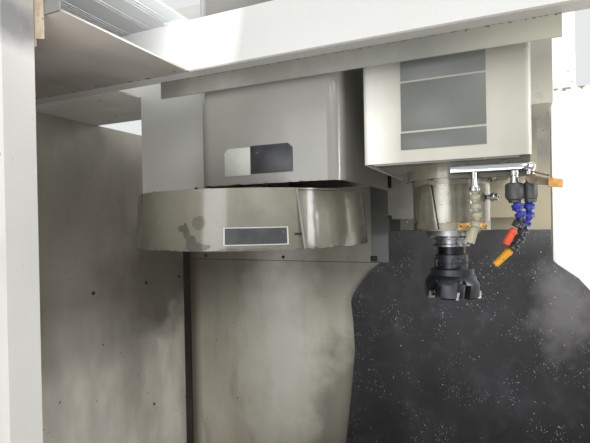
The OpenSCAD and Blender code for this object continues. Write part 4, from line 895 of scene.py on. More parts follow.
@dataclass
class Studio:
    """The floor, lamps, world and camera."""

    eye: Point = (0.0652, -1.1391, 1.5141)
    yaw: float = 23.55  # turn to the left of +Y, in degrees
    pitch: float = -0.26  # tilt upwards
    roll: float = -1.09
    lens_mm: float = 27.32  # on a 36 mm sensor
    floor_size: float = 40.0

    def camera(self) -> None:
        """Set the camera where the photographer stood."""
        yaw, pitch, roll = (math.radians(a) for a in (self.yaw, self.pitch, self.roll))
        ahead = Vector((-math.sin(yaw) * math.cos(pitch), math.cos(yaw) * math.cos(pitch), math.sin(pitch)))
        side = Vector((math.cos(yaw), math.sin(yaw), 0.0))
        up = side.cross(ahead)
        right = math.cos(roll) * side + math.sin(roll) * up
        top = -math.sin(roll) * side + math.cos(roll) * up
        data = bpy.data.cameras.new("camera")
        data.lens, data.sensor_width, data.clip_start = self.lens_mm, 36.0, 0.02
        eye = bpy.data.objects.new("camera", data)
        turn = Matrix((right, top, -ahead)).transposed().to_4x4()
        eye.matrix_world = Matrix.Translation(Vector(self.eye)) @ turn
        bpy.context.scene.collection.objects.link(eye)
        bpy.context.scene.camera = eye

    def lamp(self, name: str, place: Point, aim: Point, size: float, watts: float, spared: str = "") -> None:
        """Add one soft white lamp.

        Args:
            name: Name of the lamp.
            place: Where it hangs.
            aim: What it points at.
            size: Side of its square.
            watts: Its power.
            spared: Nodes of the machine that it doesn't light.
        """
        data = bpy.data.lights.new(name, "AREA")
        data.size, data.energy = size, watts
        holder = bpy.data.objects.new(name, data)
        holder.matrix_world = facing(Vector(place), Vector(aim) - Vector(place), "-Z")
        bpy.context.scene.collection.objects.link(holder)
        if spared:
            shaded = bpy.data.collections.new(f"{name}_spared")
            for node in spared.split():
                shaded.objects.link(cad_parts[node])
            for entry in shaded.collection_objects:
                entry.light_linking.link_state = "EXCLUDE"
            holder.light_linking.receiver_collection = shaded

    def light(self) -> None:
        """Hang the lamps and set the world."""
        self.lamp("key", (1.9, -2.6, 3.6), (0.0, -0.3, 1.3), 2.2, 70)
        self.lamp("front", (-0.9, -3.6, 1.7), (0.0, 0.0, 1.3), 1.5, 22)
        self.lamp("left", (-3.2, -1.2, 2.8), (0.0, 0.0, 1.0), 2.4, 40)
        self.lamp("back", (0.4, 3.6, 3.0), (0.0, 0.4, 1.2), 2.4, 60)
        self.lamp("low", (0.0, -1.5, 0.75), (-0.45, -0.45, 1.7), 1.2, 12, FRONT_NODES)
        self.lamp("gap", (-0.33, -0.60, 1.828), (-0.56, -0.56, 1.871), 0.12, 0.35)
        self.lamp("inside", (0.62, -0.45, 1.70), (0.30, 0.20, 1.47), 0.35, 4.4)
        world = bpy.data.worlds.new("studio")
        world.use_nodes = True
        tree = world.node_tree
        tree.nodes.clear()
        rays = add_node(tree, "LightPath").outputs
        seen = add_node(
            tree, "Math", {0: rays["Is Camera Ray"], 1: rays["Is Glossy Ray"]}, operation="MAXIMUM"
        )
        seen = add_node(
            tree, "Math", {0: seen.outputs[0], 1: rays["Is Transmission Ray"]}, operation="MAXIMUM"
        )
        lit = add_node(tree, "Background", {"Color": linear("#ffffff"), "Strength": 0.43})
        shown = add_node(tree, "Background", {"Color": linear("#e9ebec"), "Strength": 1.0})
        mixed = add_node(tree, "MixShader", {0: seen.outputs[0], 1: lit.outputs[0], 2: shown.outputs[0]})
        add_node(tree, "OutputWorld", {0: mixed.outputs[0]})
        bpy.context.scene.world = world
        bpy.context.scene.view_settings.view_transform = "Standard"

    def floor(self) -> None:
        """Lay the pale floor."""
        Bench.clear()
        bpy.ops.mesh.primitive_plane_add(size=self.floor_size, location=(0, 0, -0.0005))
        floor = Bench.settle(bpy.context.object)
        floor.name = "studio_floor"
        finish = Finish("pale_floor", "#d6d7d7", 0.7, layers=(Mottle("#cfd0d0", 900, 0.3),))
        floor.data.materials.append(finish.build())


@dataclass
class Part:
    """A sub-assembly that is built with the machine's finishes."""

    paints: Paints

    def finish(self, piece: Piece, paint: str, body: str, slot: str) -> Piece:
        """Give a finished piece its material and body, and report it.

        Args:
            piece: The piece.
            paint: Name of its material.
            body: The body that it moves with.
            slot: Not used.

        Returns:
            The same piece.
        """
        piece.data.materials.clear()
        piece.data.materials.append(self.paints[paint])
        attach(piece, body)
        LOG.info("%s rides on %s", piece.name, body)
        return piece


@dataclass
class CoolantLines(Part):
    """Chromed manifold, valves and linked hoses in front of the head."""

    tube_r: float = 6.3  # radius of the manifold tube
    front: float = 150.0  # distance of the tube before the spindle axis
    tube_z: float = 93.0
    link_r: float = 7.8  # largest radius of a hose link
    pitch: float = 13.2  # length of a hose link

    def chain(self, name: str, paint: str, *joints: Point) -> Piece:
        """Join ball-and-socket links along a row of places.

        Args:
            name: Name of the piece.
            paint: Name of its material.
            *joints: Where each link's ball sits, and the end of the last link.

        Returns:
            The chain.
        """
        r, h = self.link_r, self.pitch
        link = Bench.turned("link", [
            (0, -4.2), (3.4, -3.6), (5.0, -1.4), (5.2, 0.6), (4.3, 2.4), (3.9, 4.4), (4.6, 5.2),
            (r * 0.9, 6.0), (r, 6.8), (r, 7.6), (r * 0.93, 8.2), (r * 0.95, h - 1.6), (r, h - 1.0),
            (r * 0.97, h - 0.2), (5.6, h), (5.2, h - 2.0), (0, h - 2.2),
        ], ORIGIN, UP, 24)
        places = [spot(*joint) for joint in joints]
        moves = [
            facing(low, high - low) @ Matrix.Scale((high - low).length / (h * MM), 4, UP)
            for low, high in zip(places, places[1:])
        ]
        return self.finish(Bench.repeat(name, link, moves), paint, "head", "hose_plastic")

    def fan_nozzle(self) -> Piece:
        """Make the flat nozzle of the left hose."""
        start, end = spot(44.5, -150, 9), spot(36.5, -150, -15)
        nozzle = Bench.turned("fan_nozzle", [
            (0, 0), (5.2, 0.2), (6.6, 3), (6.4, 7), (7.0, 15), (7.6, 24.5), (7.0, 25.4), (5.8, 25.2),
            (4.5, 17), (0, 15),
        ], start, end)
        axis = (end - start).normalized()
        root, taper, flat = 6, 12, 0.62  # where it begins to flatten, over what length, and how much
        for point in nozzle.data.vertices:
            squeeze = min(max(((point.co - start).dot(axis) / MM - root) / taper, 0), 1)
            point.co.y += (start.y - point.co.y) * flat * squeeze
        return self.finish(nozzle, "yellowed_acetal", "head", "nozzle_plastic")

    def round_nozzle(
        self, name: str, paint: str, low: Point, high: Point, length: float, tip: float, girth: float
    ) -> None:
        """Make a tapered nozzle with a collar.

        Args:
            name: Name of the piece.
            paint: Name of its material.
            low: Middle of its root.
            high: A place on its axis further on.
            length: Its length.
            tip: Radius of its open end.
            girth: Share by which its radii are changed.
        """
        profile = [
            (0, 0), (4.4, 0.2), (6.0, 1.8), (6.9, 4.2), (6.9, 7.2), (6.2, 8.0), (6.2, 10.0),
            (tip + 0.9, length - 4), (tip + 0.8, length - 0.6), (tip + 0.4, length), (tip - 1.2, length),
            (tip - 1.4, length - 6), (0, length - 7),
        ]
        nozzle = Bench.turned(name, [(r * girth, h) for r, h in profile], spot(*low), spot(*high))
        self.finish(nozzle, paint, "head", "nozzle_plastic")

    def tube(self) -> None:
        """Bend the manifold tube round to the back and set its fittings."""
        end_x, bend_r, y, z = 106.0, 14.0, -self.front, self.tube_z
        bend = [math.radians(90 * step / 8) for step in range(1, 9)]
        route = [spot(12, y, z), spot(end_x, y, z)]
        route += [spot(end_x + bend_r * math.sin(a), y + bend_r * (1 - math.cos(a)), z) for a in bend]
        route.append(spot(end_x + bend_r, 255, z))
        tube = Bench.soften(Bench.pipe("manifold_tube", route, self.tube_r, 6), 0.0012, 2, 60)
        self.finish(tube, "chromed_tube", "head", "chrome")
        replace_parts(tube, "coolant_manifold")
        stem = Bench.turned("left_fitting", [
            (0, 0), (6.0, 0), (7.6, 1.2), (7.6, 4.6), (6.6, 5.4), (6.8, 7.0), (5.9, 9.0), (4.6, 22.0),
            (4.4, 30.0), (0, 30.0),
        ], spot(44.5, y, 60), spot(44.5, y, 92))
        self.finish(stem, "chromed_tube", "head", "chrome")
        clips = [
            Bench.block(f"clip.{x}", spot(x - 5, y - 1, z + 4), spot(x + 5, -141, z + 10)) for x in (28, 84)
        ]
        self.finish(Bench.join("tube_clips", clips), "dark_bracket_steel", "head", "dark_steel")

    def valves(self) -> None:
        """Make the two stop valves with their chromed stems."""
        cups, stems = [], []
        for x, y, low, r in ((97.5, -152.0, 45.0, 12.4), (118.0, -146.0, 45.5, 9.4)):
            cup = [
                (0, 0), (r * 0.62, 0), (r * 0.9, 2.2), (r, 6), (r, 21), (r * 0.93, 23.5), (r * 0.7, 25),
                (0, 25),
            ]
            nut = [(0, 0), (7.0, 0), (8.0, 1), (8.0, 6), (7.0, 7), (0, 7)]
            stem = [(0, 0), (6.2, 0), (6.2, 4), (5.3, 5), (5.3, 13), (6.0, 14), (6.0, 20), (0, 20)]
            cups.append(Bench.turned("valve_cup", cup, spot(x, y, low), spot(x, y, low + 30)))
            cups.append(Bench.turned("valve_nut", nut, spot(x, y, low - 3.5), spot(x, y, low + 10), 6))
            stems.append(Bench.turned("valve_stem", stem, spot(x, y, low + 22), spot(x, y, low + 50), 24))
        stems.append(Bench.rod("valve_spindle", spot(118, -150, 74), spot(118, -164, 74), 6.0, 24, 0.8))
        whole = self.finish(Bench.join("valve_bodies", cups), "dark_bracket_steel", "head", "dark_steel")
        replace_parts(whole, "coolant_valves")
        self.finish(Bench.join("valve_stems", stems), "chromed_tube", "head", "chrome")

    def lever(self) -> None:
        """Make the lever of the right valve with its grip and link rod."""
        corners = [(118, 79), (142, 73), (142, 63.5), (124, 66), (116, 70)]
        arm = [
            Bench.plate("lever_arm", corners, -163, 3.5, 0.8),
            Bench.rod("lever_boss", spot(118, -160, 74), spot(118, -169, 74), 7.0, 24, 0.8),
            Bench.rod("link_rod", spot(119, -161, 84.5), spot(140, -161, 77.5), 1.2, 12, 0.3),
            Bench.rod("link_tie", spot(119, -161, 72), spot(119, -161, 85), 1.6, 12, 0.3),
        ]
        whole = self.finish(Bench.join("lever_arm", arm), "oily_lever_steel", "valve_lever", "nozzle_plastic")
        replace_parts(whole, "valve_lever")
        corners = [(138, 74.5), (154.5, 71.5), (156, 70), (155, 60), (138, 62)]
        grip = Bench.plate("lever_grip", corners, -161.5, 6.5, 1.6)
        self.finish(grip, "orange_grip", "valve_lever", "nozzle_plastic")

    def build(self) -> None:
        """Build the lines."""
        self.tube()
        self.valves()
        self.lever()
        left = self.chain(
            "left_hose", "yellowed_acetal", (44.5, -150, 61), (45, -150, 48), (45.8, -150, 35),
            (47.2, -150, 22), (44.5, -150, 9)
        )
        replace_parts(left, "coolant_hoses")
        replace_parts(self.fan_nozzle(), "hose_nozzles")
        elbow = (106.0, -159, 20.5)
        self.chain("middle_hose_top", "blue_acetal", (98.5, -153, 45), (101.5, -156, 32.5), elbow)
        self.chain("middle_hose_low", "black_acetal", elbow, (99.0, -161, 7.5))
        self.round_nozzle(
            "red_nozzle", "orange_acetal", (96.5, -161.5, 5.5), (83.0, -164, -19.0), 25, 5.6, 0.80
        )
        elbow = (110.0, -142, 10.5)
        self.chain(
            "right_hose_top", "blue_acetal", (117, -146, 46), (116, -144, 33.5), (115.5, -143, 21), elbow
        )
        self.chain(
            "right_hose_low", "black_acetal", elbow, (107.5, -142, -1.5), (101.0, -143, -13.0),
            (93.0, -144.4, -24.0)
        )
        self.round_nozzle(
            "yellow_nozzle", "yellow_acetal", (92.0, -144.6, -25.0), (68.0, -147, -50.0), 31, 5.0, 0.84
        )


@dataclass
class ToolSet(Part):
    """The holder's details, the face mill and its inserts."""

    mill_r: float = 50.0  # cutting radius
    foot_z: float = -120.8  # height of the cutting plane above the nose
    count: int = 6  # number of inserts
    turn: float = -64.0  # angle of the first pocket, in degrees
    rake: float = -8.0  # lean of a pocket

    @staticmethod
    def about(angle: float, z: float = 0.0) -> Matrix:
        """Give the move to a height above the nose with a turn about the axis."""
        return Matrix.Translation(spot(0, 0, z)) @ Matrix.Rotation(math.radians(angle), 4, "Z")

    def pockets(self) -> list[Matrix]:
        """Give the move from the origin to each pocket."""
        lean = Matrix.Rotation(math.radians(self.rake), 4, "X")
        return [self.about(self.turn + n * 360 / self.count, self.foot_z) @ lean for n in range(self.count)]

    def body(self) -> None:
        """Turn the mill's body and cut its pockets."""
        r, z = self.mill_r, self.foot_z
        body = Bench.turned("mill_body", [
            (0, 0), (r - 6, 0), (r - 1.2, 3.5), (r - 1.0, 24.0), (r - 2.0, 28.0), (39.5, 39.5), (38.0, 40.5),
            (38.0, 50.8), (37.2, 51.6), (28.6, 51.6), (28.0, 52.2), (28.0, 61.0), (27.2, 61.4), (27.2, 62.6),
            (28.0, 63.0), (28.0, 76.4), (27.4, 77.0), (0, 77.0),
        ], spot(0, 0, z), spot(0, 0, z + 80), 96)
        pocket = Bench.block("pocket", Vector((0.026, -0.013, -0.004)), Vector((0.062, 0.011, 0.027)), 3.0)
        flute = Bench.block("flute", Vector((0.033, -0.013, 0.018)), Vector((0.064, 0.002, 0.034)), 4.0)
        for move in self.pockets():
            for shape in (pocket, flute):
                cutter = Bench.copy(shape, "cutter", move)
                Bench.modify(body, "BOOLEAN", object=cutter, operation="DIFFERENCE", solver="EXACT")
                bpy.data.objects.remove(cutter)
        for shape in (pocket, flute):
            bpy.data.objects.remove(shape)
        Bench.soften(body, 0.0005, 1, 40)
        self.finish(body, "black_oxide_steel", "spindle", "tool_black")
        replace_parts(body, "face_mill")

    def inserts(self) -> None:
        """Set the inserts and their screws in the pockets."""
        plate = Bench.block(
            "insert", Vector((0.0365, -0.0128, -0.0005)), Vector((0.0498, -0.0082, 0.0128)), 0.8
        )
        plates = Bench.repeat("mill_plates", plate, self.pockets())
        self.finish(plates, "ground_carbide", "spindle", "carbide")
        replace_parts(plates, "mill_inserts")
        backward = Matrix.Rotation(math.radians(-90), 4, "X")  # a head's direction from +Z to +Y
        seat = Matrix.Translation(Vector((0.043, -0.0082, 0.0062))) @ backward
        heads = Bench.repeat("insert_screws", Bench.screw(2.6), [move @ seat for move in self.pockets()])
        self.finish(heads, "worn_tool_steel", "spindle", "tool_steel")

    def build(self) -> None:
        """Build the tool, with the drive keys of its holder and arbor."""
        self.body()
        self.inserts()
        key = Bench.block(
            "drive_key", Vector((0.026, -0.008, -0.0165)), Vector((0.0415, 0.008, -0.0002)), 1.0
        )
        keys = Bench.repeat("drive_keys", key, [self.about(angle) for angle in (-20, 160)])
        self.finish(keys, "worn_tool_steel", "spindle", "tool_steel")
        flat = Bench.block(
            "arbor_key", Vector((0.0262, -0.0075, -0.067)), Vector((0.0296, 0.0075, -0.052)), 0.8
        )
        flats = Bench.repeat("arbor_keys", flat, [self.about(-70 + 90 * n) for n in range(4)])
        self.finish(flats, "black_oxide_steel", "spindle", "tool_black")


@dataclass
class SpindleNose(Part):
    """Small parts round the spindle nose."""

    nose_r: float = 66.0

    def on_nose(self, angle: float, z: float, out: float = 0.0) -> Vector:
        """Give a place on the nose by its angle in degrees and height in millimetres."""
        r, turn = self.nose_r + out, math.radians(angle)
        return spot(r * math.cos(turn), r * math.sin(turn), z)

    def curved(self, name: str, rows: Sequence[Point], thick: float, out: float = 0.3) -> Piece:
        """Make a plate that follows the nose.

        Args:
            name: Name of the piece.
            rows: Height, first angle and last angle of each row.
            thick: Thickness in millimetres.
            out: Gap to the nose.

        Returns:
            The plate.
        """
        across = 12
        shares = [i / across for i in range(across + 1)]
        points = [
            self.on_nose(first + (last - first) * share, z, out)
            for z, first, last in rows
            for share in shares
        ]
        plate = Bench.grid(name, points, across)
        Bench.edit(plate)
        middle = plate.data.polygons[len(plate.data.polygons) // 2]
        outward = middle.center - spot(0, 0, 0)
        outward.z = 0
        offset = 1.0 if middle.normal.dot(outward) > 0 else -1.0
        Bench.modify(plate, "SOLIDIFY", thickness=thick * MM, offset=offset)
        Bench.edit(plate)
        return Bench.soften(plate, 0.0005, 2, 50)

    def guard(self, name: str, ends: Pair, starts: Pair, stops: Pair, thick: float) -> Piece:
        """Make a plate whose sides lean more and more down the nose.

        Args:
            name: Name of the piece.
            ends: Height of its first and last row.
            starts: Angle of its left side at the top, and how far it leans, in degrees.
            stops: The same of its right side.
            thick: Thickness in millimetres.

        Returns:
            The plate.
        """
        top, tall = 78, 75  # where the lean is nothing, and how far below that it is whole
        rows = [(z, (top - z) / tall) for z in (ends[0], 66, 54, 42, 30, 18, ends[1])]
        return self.curved(
            name, [(z, starts[0] + starts[1] * s, stops[0] + stops[1] * s) for z, s in rows], thick
        )

    def build(self) -> None:
        """Build the parts."""
        wedge = self.guard("nose_guard", (78, 3), (-129.0, -13.0), (-113.4, 9.6), 3.0)
        self.finish(wedge, "worn_nose_casting", "head", "head_iron")
        # A dark strip as painted shadow in the gap between the guard and the nose.
        shade = self.guard("guard_joint", (79, 2), (-113.2, 9.6), (-111.8, 9.6), 0.6)
        self.finish(shade, "dark_joint", "head", "seal_strip")
        band = self.curved("ring_joint", [(14.6, -205, 25), (13.4, -205, 25)], 0.35, 0.02)
        self.finish(band, "dark_joint", "head", "seal_strip")
        ports = [
            self.curved("port", [(12.6, first, last), (1.6, first, last)], 1.2)
            for first, last in ((-76.5, -56), (-41.5, -26))
        ]
        self.finish(Bench.join("coolant_ports", ports), "turned_brass", "head", "ring_steel")
        # Dark plugs as painted shade in the coolant holes.
        holes = []
        for angle in (-72.5, -62.5, -37.0, -28.5):
            inner, outer = self.on_nose(angle, 7.2, 0.6), self.on_nose(angle, 7.2, 1.75)
            holes.append(Bench.rod("port_hole", inner, outer, 1.5, 16, 0.2))
        self.finish(Bench.join("port_holes", holes), "dark_joint", "head", "seal_strip")
        stub = Bench.turned("air_fitting", [
            (0, 0), (4.2, 0), (4.2, 5), (6.2, 5.4), (6.8, 6.4), (6.8, 11), (5.6, 12), (5.6, 16.5),
            (5.0, 17.4), (2.6, 17.4), (2.4, 13), (0, 13),
        ], spot(62, -27, 56), spot(84, -34, 55), 24)
        self.finish(stub, "cast_aluminium", "head", "ring_steel")
        bolts = [self.on_nose(22.5 + 45 * n, 89, 5.5) for n in range(8)]
        self.finish(
            Bench.screws("flange_screws", bolts, -UP, 4.0), "dark_bracket_steel", "head", "dark_steel"
        )
        bolt = Bench.rod("lock_screw", spot(46, -43, -5), spot(46, -43, 1), 4.2, 6)
        self.finish(bolt, "dark_bracket_steel", "head", "dark_steel")


@dataclass
class ToolChanger(Part):
    """Details of the changer's skirt and housing."""

    centre: float = 405.0  # distance of the carousel axis to the left of the spindle
    low_r: float = 246.0  # radius of the skirt at its lower edge
    top_r: float = 238.0  # and at its upper edge
    low: float = -26.0  # height of its lower edge above the nose
    tall: float = 104.0

    def on_skirt(self, angle: float, z: float, out: float = 0.0) -> Vector:
        """Give a place on the skirt by its angle in degrees and height in millimetres."""
        r = self.low_r + (self.top_r - self.low_r) * (z - self.low) / self.tall + out
        return spot(-self.centre + r * math.cos(math.radians(angle)), r * math.sin(math.radians(angle)), z)

    def wrap(
        self, name: str, side: Pair, height: Pair, thick: float, paint: str, slot: str, skew: float = 0.0
    ) -> None:
        """Make a thin plate that follows the skirt.

        Args:
            name: Name of the piece.
            side: Angles of its left and right end.
            height: Its lower and upper edge.
            thick: Its thickness in millimetres.
            paint: Name of its material.
            slot: The record's slot for its finish.
            skew: Turn of its upper edge against the lower one, in degrees.
        """
        (first, last), (low, high) = side, height
        gap, step = 0.2, 1.5  # millimetres to the skirt, and degrees from row to row
        across = max(2, int(abs(last - first) / step))
        points = [
            self.on_skirt(lean + first + (last - first) * i / across, z, away)
            for away in (gap, gap + thick)
            for z, lean in ((low, 0.0), (high, skew))
            for i in range(across + 1)
        ]
        row = across + 1
        faces = [(0, 2 * row, 3 * row, row), (across, across + row, across + 3 * row, across + 2 * row)]
        for i in range(across):
            faces += [
                (i + 1, i, i + row, i + 1 + row),
                (i + 2 * row, i + 1 + 2 * row, i + 1 + 3 * row, i + 3 * row),
                (i, i + 1, i + 1 + 2 * row, i + 2 * row),
                (i + 1 + row, i + row, i + 3 * row, i + 1 + 3 * row),
            ]
        plate = Bench.mesh(name, points, [], faces)
        Bench.edit(plate)
        self.finish(Bench.soften(plate, min(0.0004, thick * 0.3 * MM), 1, 50), paint, "changer", slot)

    def build(self) -> None:
        """Build the details."""
        self.wrap("skirt_plate", (-72.9, -48.8), (-15.3, 11.2), 0.8, "dark_plate", "plate_grey")
        self.wrap("skirt_plate_border", (-73.5, -48.2), (-17.0, 12.9), 0.35, "pale_plate", "plate_grey")
        self.wrap(
            "seam_lip", (-41.9, -41.1), (-25.5, 77.5), 1.2, "housing_gloss_enamel", "cream_enamel", -2.3
        )
        # A dark plate as painted shade in the latch slot.
        self.wrap("latch_slot", (-45.6, -42.3), (-2.0, 1.6), 0.5, "dark_joint", "seal_strip")
        for side, paint, corners in (
            ("left", "pale_plate", [(-375, 104), (-322, 104), (-322, 153.5), (-368, 153.5), (-375, 146)]),
            ("right", "dark_plate", [(-321, 106), (-240, 106), (-240, 147), (-249, 155), (-321, 155)]),
        ):
            plate = Bench.plate(f"housing_plate_{side}", corners, -163.3, 0.8, 0.3)
            self.finish(plate, paint, "frame", "plate_grey")
        screws = Bench.screws("sheet_screws", [spot(-613, -75, 88), spot(-502, -75, 92)], FRONTWARD, 4.0)
        self.finish(screws, "dark_plate", "frame", "seal_strip")
        latch = [Bench.block("latch", spot(-262, 286, 116), spot(-205, 290.5, 124))]
        for x, y, z, r in ((-258, 292, 120, 5.0), (-232, 292, 121, 4.0), (-209, 300, 119, 5.0)):
            latch.append(Bench.rod("latch_pin", spot(x, 284, z), spot(x, y, z), r, 16, 0.8))
        self.finish(Bench.join("bar_fittings", latch), "chromed_tube", "head", "chrome")
        bolt = Bench.block("bar_block", spot(-222, 284, -89), spot(-205, 292, -75), 1.5)
        self.finish(bolt, "dark_joint", "head", "seal_strip")


@dataclass
class HeadFittings(Part):
    """Plates on the head cover, and the rubber apron behind the head."""

    top: float = -14.0  # upper edge of the apron, above the nose
    edge: tuple[Pair, ...] = (  # half width and depth of the apron's side, from the top down
        (208.0, 0), (208.0, 76), (222.0, 90), (266.5, 123), (299.3, 163), (320.3, 196), (325.0, 214),
        (319.2, 281), (315.6, 360), (329.7, 500), (356.6, 706),
    )
    # Depths of the rows between those corners.
    between: tuple[float, ...] = (20, 40, 60, 105, 143, 180, 240, 320, 400, 440, 480, 540, 580, 620, 660)

    def half_width(self, drop: float) -> float:
        """Give the apron's half width at a depth below its top.

        Args:
            drop: The depth in millimetres.

        Returns:
            The half width in millimetres.
        """
        for (w0, d0), (w1, d1) in zip(self.edge, self.edge[1:]):
            if drop <= d1:
                return w0 + (w1 - w0) * (drop - d0) / (d1 - d0)
        return self.edge[-1][0]

    def apron(self) -> None:
        """Hang the apron, with the slack of its own weight in it."""
        across = 40
        points = []
        for drop in sorted({d for _, d in self.edge} | set(self.between)):
            slack = min(drop / 250, 1.0)
            for i in range(across + 1):
                share = 2 * i / across - 1
                x = self.half_width(drop) * share
                # Two slow ripples, and the outer fifth of each side curling to the front.
                wave = 2.2 * math.sin(x / 62 + drop / 240) + 1.2 * math.sin(x / 27 - drop / 130)
                curl = 3.0 * max(abs(share) - 0.8, 0) / 0.2 * min(drop / 400, 1)
                points.append(spot(x, 456 - slack * (2.0 + wave) - curl * slack, self.top - drop))
        sheet = Bench.grid("rubber_apron", points, across)
        Bench.modify(sheet, "SOLIDIFY", thickness=0.004, offset=0.0)
        Bench.soften(sheet, 0.0008, 1, 60)
        self.finish(sheet, "dusty_rubber_sheet", "head", "apron_rubber")
        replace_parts(sheet, "apron")

    def build(self) -> None:
        """Hang the apron and put the plain plates on the cover's front."""
        self.apron()
        for name, x, low, high, thick in (
            ("upper", -60, 236, 300, 0.6), ("middle", -60, 158, 233, 0.8), ("lower", -61, 129, 155, 0.8)
        ):
            corners = [(x, low), (62.5, low), (62.5, high), (x, high)]
            plate = Bench.plate(f"cover_plate_{name}", corners, -149.3, thick, 0.25)
            self.finish(plate, "grey_plate", "head", "plate_grey")


@dataclass
class Enclosure(Part):
    """Trim, screws and seams of the sheet metal enclosure."""

    wall_screws: tuple[float, ...] = (270, 434, 60, -150, -360)  # along a side wall, behind the spindle axis

    def build(self) -> None:
        """Build the details."""
        corners = [(-469.5, 253), (-463, 251), (-463, 261.5), (-448, 258.5), (-448, 330), (-469.5, 330)]
        tape = Bench.plate("edge_tape", corners, -463.4, 1.2, 0.4)
        self.finish(tape, "old_edge_tape", "frame", "seal_strip")
        bead = Bench.block("bead", spot(-1.6, -458, 379.6), spot(1.6, -204, 381), 0.5)
        places = [side * x * MM for side in (-1, 1) for x in (452, 459, 466, 503, 510, 556, 563, 570, 577)]
        beads = Bench.repeat("skin_beads", bead, shifts(places))
        self.finish(beads, "roof_sheet_coat", "frame", "roof_sheet")
        tab = Bench.block("skin_tab", spot(-468, -213, 379), spot(-426, -203.5, 381), 0.5)
        tabs = Bench.repeat("skin_tabs", tab, shifts((0, 0.894)))
        self.finish(tabs, "beam_powder_coat", "frame", "front_enamel")
        seam = Bench.block("wall_seam", spot(-953, 468.6, -110.6), spot(-214, 470.2, -109.4), 0.3)
        self.finish(seam, "dark_joint", "frame", "seal_strip")
        moves = [facing(spot(x, 469.8, -98), FRONTWARD) for x in (-558, -256, -860, 860)]
        for side in (-1, 1):
            moves += [facing(spot(side * 954.8, y, -171), Vector((-side, 0, 0))) for y in self.wall_screws]
        self.finish(Bench.repeat("wall_screws", Bench.screw(5.0), moves), "dark_plate", "frame", "seal_strip")


@dataclass
class DoorFittings(Part):
    """Window gaskets and screws of the two sliding doors."""

    face: float = -788.0  # front face of the doors, as a frame coordinate
    middle: float = 708.0  # distance of a window's middle from the machine's middle
    half: Pair = (145.0, 280.0)  # half width and half height of a window opening
    height: float = 1446.3  # height of a window's middle
    rim: float = 16.0  # width of a gasket
    off: float = 26.0  # distance of the screws from the opening

    def build(self) -> None:
        """Build the fittings of both doors."""
        z, (w, h), y, rim = self.height, self.half, self.face, self.rim
        for side, body in ((-1, "left_door"), (1, "right_door")):
            x = side * self.middle
            strips = [
                Bench.block("strip", above_floor(x0, y - 3.5, z0), above_floor(x1, y + 0.2, z1), 1.2)
                for x0, z0, x1, z1 in (
                    (x - w - rim, z + h, x + w + rim, z + h + rim),
                    (x - w - rim, z - h - rim, x + w + rim, z - h),
                    (x - w - rim, z - h, x - w, z + h),
                    (x + w, z - h, x + w + rim, z + h),
                )
            ]
            self.finish(Bench.join(f"{body}_gasket", strips), "corner_seal_rubber", body, "seal_strip")
            sides = [(a * (w + self.off), b * (h + 2)) for a in (-1, 1) for b in (-1, -0.5, 0, 0.5, 1)]
            ends = [(a * w * 0.6, b * (h + self.off)) for a in (-1, 0, 1) for b in (-1, 1)]
            places = [above_floor(x + right, y, z + up) for right, up in sides + ends]
            self.finish(
                Bench.screws(f"{body}_screws", places, FRONTWARD, 4.0), "dark_plate", body, "dark_steel"
            )


@dataclass
class PendantFace(Part):
    """Screen, keys and knobs on the control pendant."""

    face: float = -920.0  # front face of the pendant, as a frame coordinate
    columns: tuple[float, ...] = tuple(0.027 * n for n in range(8))  # places of the keys along a row
    rows: tuple[float, ...] = tuple(0.026 * n for n in range(5))

    def pad(self, name: str, low: Pair, high: Pair, proud: float, round_mm: float = 1.0) -> Piece:
        """Make one flat part on the face, from its lower left to its upper right corner."""
        front = above_floor(low[0], self.face - proud, low[1])
        return Bench.block(name, front, above_floor(high[0], self.face + 0.3, high[1]), round_mm)

    def build(self) -> None:
        """Build the face."""
        bezel = self.pad("pendant_bezel", (592, 1408), (812, 1608), 5.0, 2.0)
        self.finish(bezel, "moulded_black_plastic", "pendant", "pendant_case")
        glass = self.pad("pendant_screen", (606, 1422), (798, 1594), 5.6, 0.5)
        self.finish(glass, "dark_screen_glass", "pendant", "black_plastic")
        soft = self.pad("soft_key", (596, 1384), (618, 1398), 2.2)
        soft = Bench.repeat("soft_keys", soft, shifts(self.columns))
        keys = self.pad("key", (596, 1244), (617, 1263), 2.4)
        keys = Bench.repeat(
            "keys", keys, [Matrix.Translation((x, 0, z)) for z in self.rows for x in self.columns]
        )
        self.finish(Bench.join("pendant_keys", [soft, keys]), "membrane_keys", "pendant", "pendant_case")
        profile = [(0, 0), (15, 0), (15, 3), (12, 4), (12, 16), (10.8, 18), (0, 18)]
        knob = Bench.turned(
            "knob", profile, above_floor(730, self.face, 1200), above_floor(730, self.face - 20, 1200)
        )
        low, high = above_floor(729.2, self.face - 18.6, 1202), above_floor(730.8, self.face - 17.6, 1210)
        mark = Bench.block("mark", low, high, 0.3)
        moves = shifts((0, 0.05))
        self.finish(
            Bench.repeat("override_knobs", knob, moves), "moulded_black_plastic", "pendant", "black_plastic"
        )
        self.finish(Bench.repeat("knob_marks", mark, moves), "pale_plate", "pendant", "plate_grey")
        rings = [
            Bench.turned("ring", [(r, 0), (r + 5, 0), (r + 5, 2.5), (r + 4, 3.5), (r, 3.5), (r, 0)],
                         above_floor(x, self.face, 1200), above_floor(x, self.face - 9, 1200), 40)
            for x, r in ((620, 12.6), (670, 12.6), (865, 21.0))
        ]
        self.finish(Bench.join("button_rings", rings), "chromed_tube", "pendant", "chrome")
        places = [above_floor(x, self.face, z) for x in (582, 898) for z in (1152, 1390, 1628)]
        screws = Bench.screws("pendant_screws", places, FRONTWARD, 3.5)
        self.finish(screws, "dark_bracket_steel", "pendant", "dark_steel")


